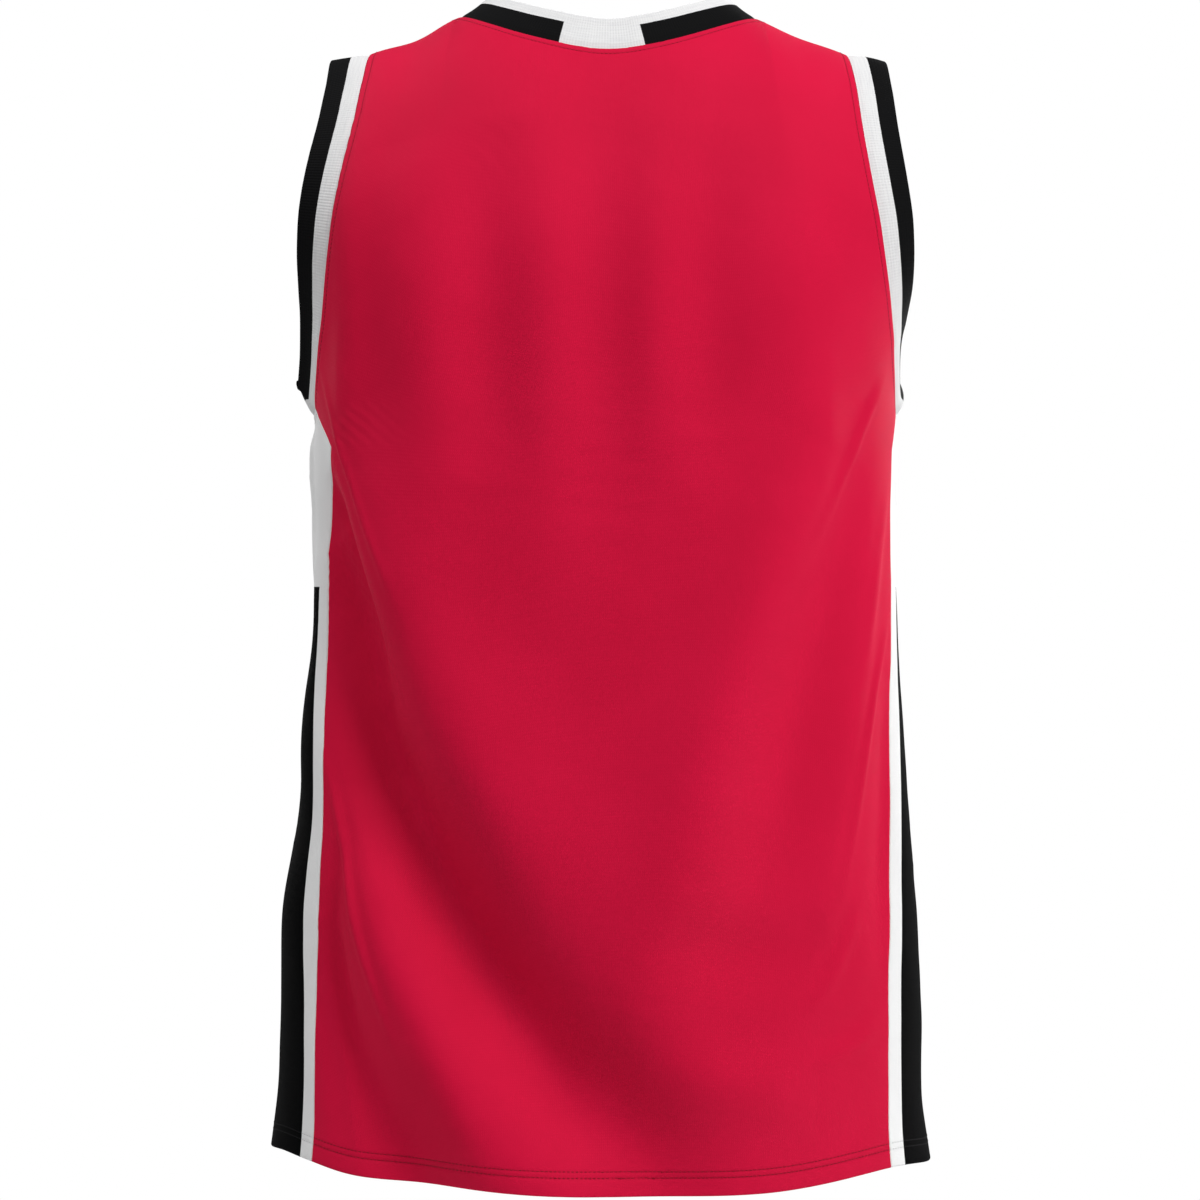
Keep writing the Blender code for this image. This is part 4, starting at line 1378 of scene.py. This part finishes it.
# %% Pieces, walls and flat sizes
nodes_of = {
    "back_cloth": ("back_panel", "red_mesh"),
    "front_cloth": ("front_panel", "red_mesh"),
    "side_cloth_left": ("side_panel_left", "side_mesh"),
    "side_cloth_right": ("side_panel_right", "side_mesh"),
    "collar_rib": ("collar_band", "rib"),
    "armhole_rib_left": ("armhole_band_left", "rib"),
    "armhole_rib_right": ("armhole_band_right", "rib"),
}
for name, (wall, finish) in nodes_of.items():
    piece = bpy.data.objects[name]
    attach(piece, "root")
    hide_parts(wall)

for name, piece in threads.items():
    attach(piece, "root")

ALLOWANCE = 0.005  # cloth beyond a seam line
for name, (turns, heights) in places.items():
    smooth = form(turns, heights)
    widths, lengths = running_length(smooth, 1)[:, -1], running_length(smooth, 0)[-1]
    width, length = widths.max() + 2 * ALLOWANCE, lengths.max() + FLAP + ALLOWANCE
    area = sum(p.area for p in panels[name].data.polygons) / 2
    size = round(width, 3), round(length, 3)
    print(name, "flat", *size, "m, cloth", round(area, 4), "square m")
for name, piece in bands.items():
    length = seams[{"collar_rib": "neck"}.get(name, name.split("_")[-1])]["length"]
    width = 2 * (COLLAR if name == "collar_rib" else ARM_BAND)
    print(name, "cut as one strip", round(length, 3), "by", width)

# %% [markdown]
# ## Floor, light and camera
#
# The jersey hangs at the height of a wearer's shoulders, so the floor lies far below it. All
# lamps are soft squares on a ring round the jersey. From behind and from in front one key lamp
# shapes the folds at a raking angle, and weaker lamps light the edges and fill the shade.

# %% Floor
FLOOR_RADIUS, FLOOR_PLACE = 2.9, (0, 0, -1.45)
bpy.ops.mesh.primitive_circle_add(
    vertices=96, radius=FLOOR_RADIUS, fill_type="NGON", location=FLOOR_PLACE)
floor = bpy.context.object
floor.name = "floor"
material, _, _ = new_material("pale floor", {"Base Color": (0.86, 0.86, 0.86, 1), "Roughness": 0.9})
floor.data.materials.append(material)

# %% Lamps
MIDDLE, RING, LAMP_SIZE = Vector((0, 0, -0.37)), 2.9, 1.0
LAMPS = [
    # name, turn in degrees from the back by the wearer's right, rise in degrees, power
    ("key", 40, 50, 57),
    ("low side light", 75, -20, 38),
    ("left edge light", -110, 45, 18),
    ("left fill", -45, 50, 20),
    ("front key", 136, 20, 46),
    ("front fill", -150, 15, 9),
]


def lamp(name, turn, rise, power):
    """A soft square lamp on the ring round the jersey, aimed at its middle."""
    turn, rise = math.radians(turn), math.radians(rise)
    level, height = math.cos(rise), math.sin(rise)
    way = Vector((-math.sin(turn) * level, math.cos(turn) * level, height))
    data = bpy.data.lights.new(name, "AREA")
    data.energy, data.size = power, LAMP_SIZE
    made = bpy.data.objects.new(name, data)
    bpy.context.scene.collection.objects.link(made)
    made.location = MIDDLE + way * RING
    made.rotation_euler = (-way).to_track_quat("-Z", "Y").to_euler()


for row in LAMPS:
    lamp(*row)

# %% World
SOFT_LIGHT, SEEN_LIGHT = 0.23, 1.0
world = bpy.data.worlds.new("studio")
bpy.context.scene.world = world
world.use_nodes = True
tree = world.node_tree
tree.nodes.clear()
soft = node(tree, "ShaderNodeBackground", {"Color": (1, 1, 1, 1), "Strength": SOFT_LIGHT})
plain = node(tree, "ShaderNodeBackground", {"Color": (1, 1, 1, 1), "Strength": SEEN_LIGHT})
seen = node(tree, "ShaderNodeLightPath").outputs["Is Camera Ray"]
both = node(tree, "ShaderNodeMixShader", {0: seen, 1: soft.outputs[0], 2: plain.outputs[0]})
node(tree, "ShaderNodeOutputWorld", {"Surface": both.outputs[0]})
bpy.context.scene.view_settings.view_transform = "Standard"

# %% Camera
CAMERA_PLACE, SENSOR, LENS = (0.00544, 2.0, -0.377), 36.0, 92.64
data = bpy.data.cameras.new("camera")
data.sensor_width, data.lens = SENSOR, LENS
camera = bpy.data.objects.new("camera", data)
bpy.context.scene.collection.objects.link(camera)
camera.location = CAMERA_PLACE
camera.rotation_euler = (math.pi / 2, 0, math.pi)
bpy.context.scene.camera = camera
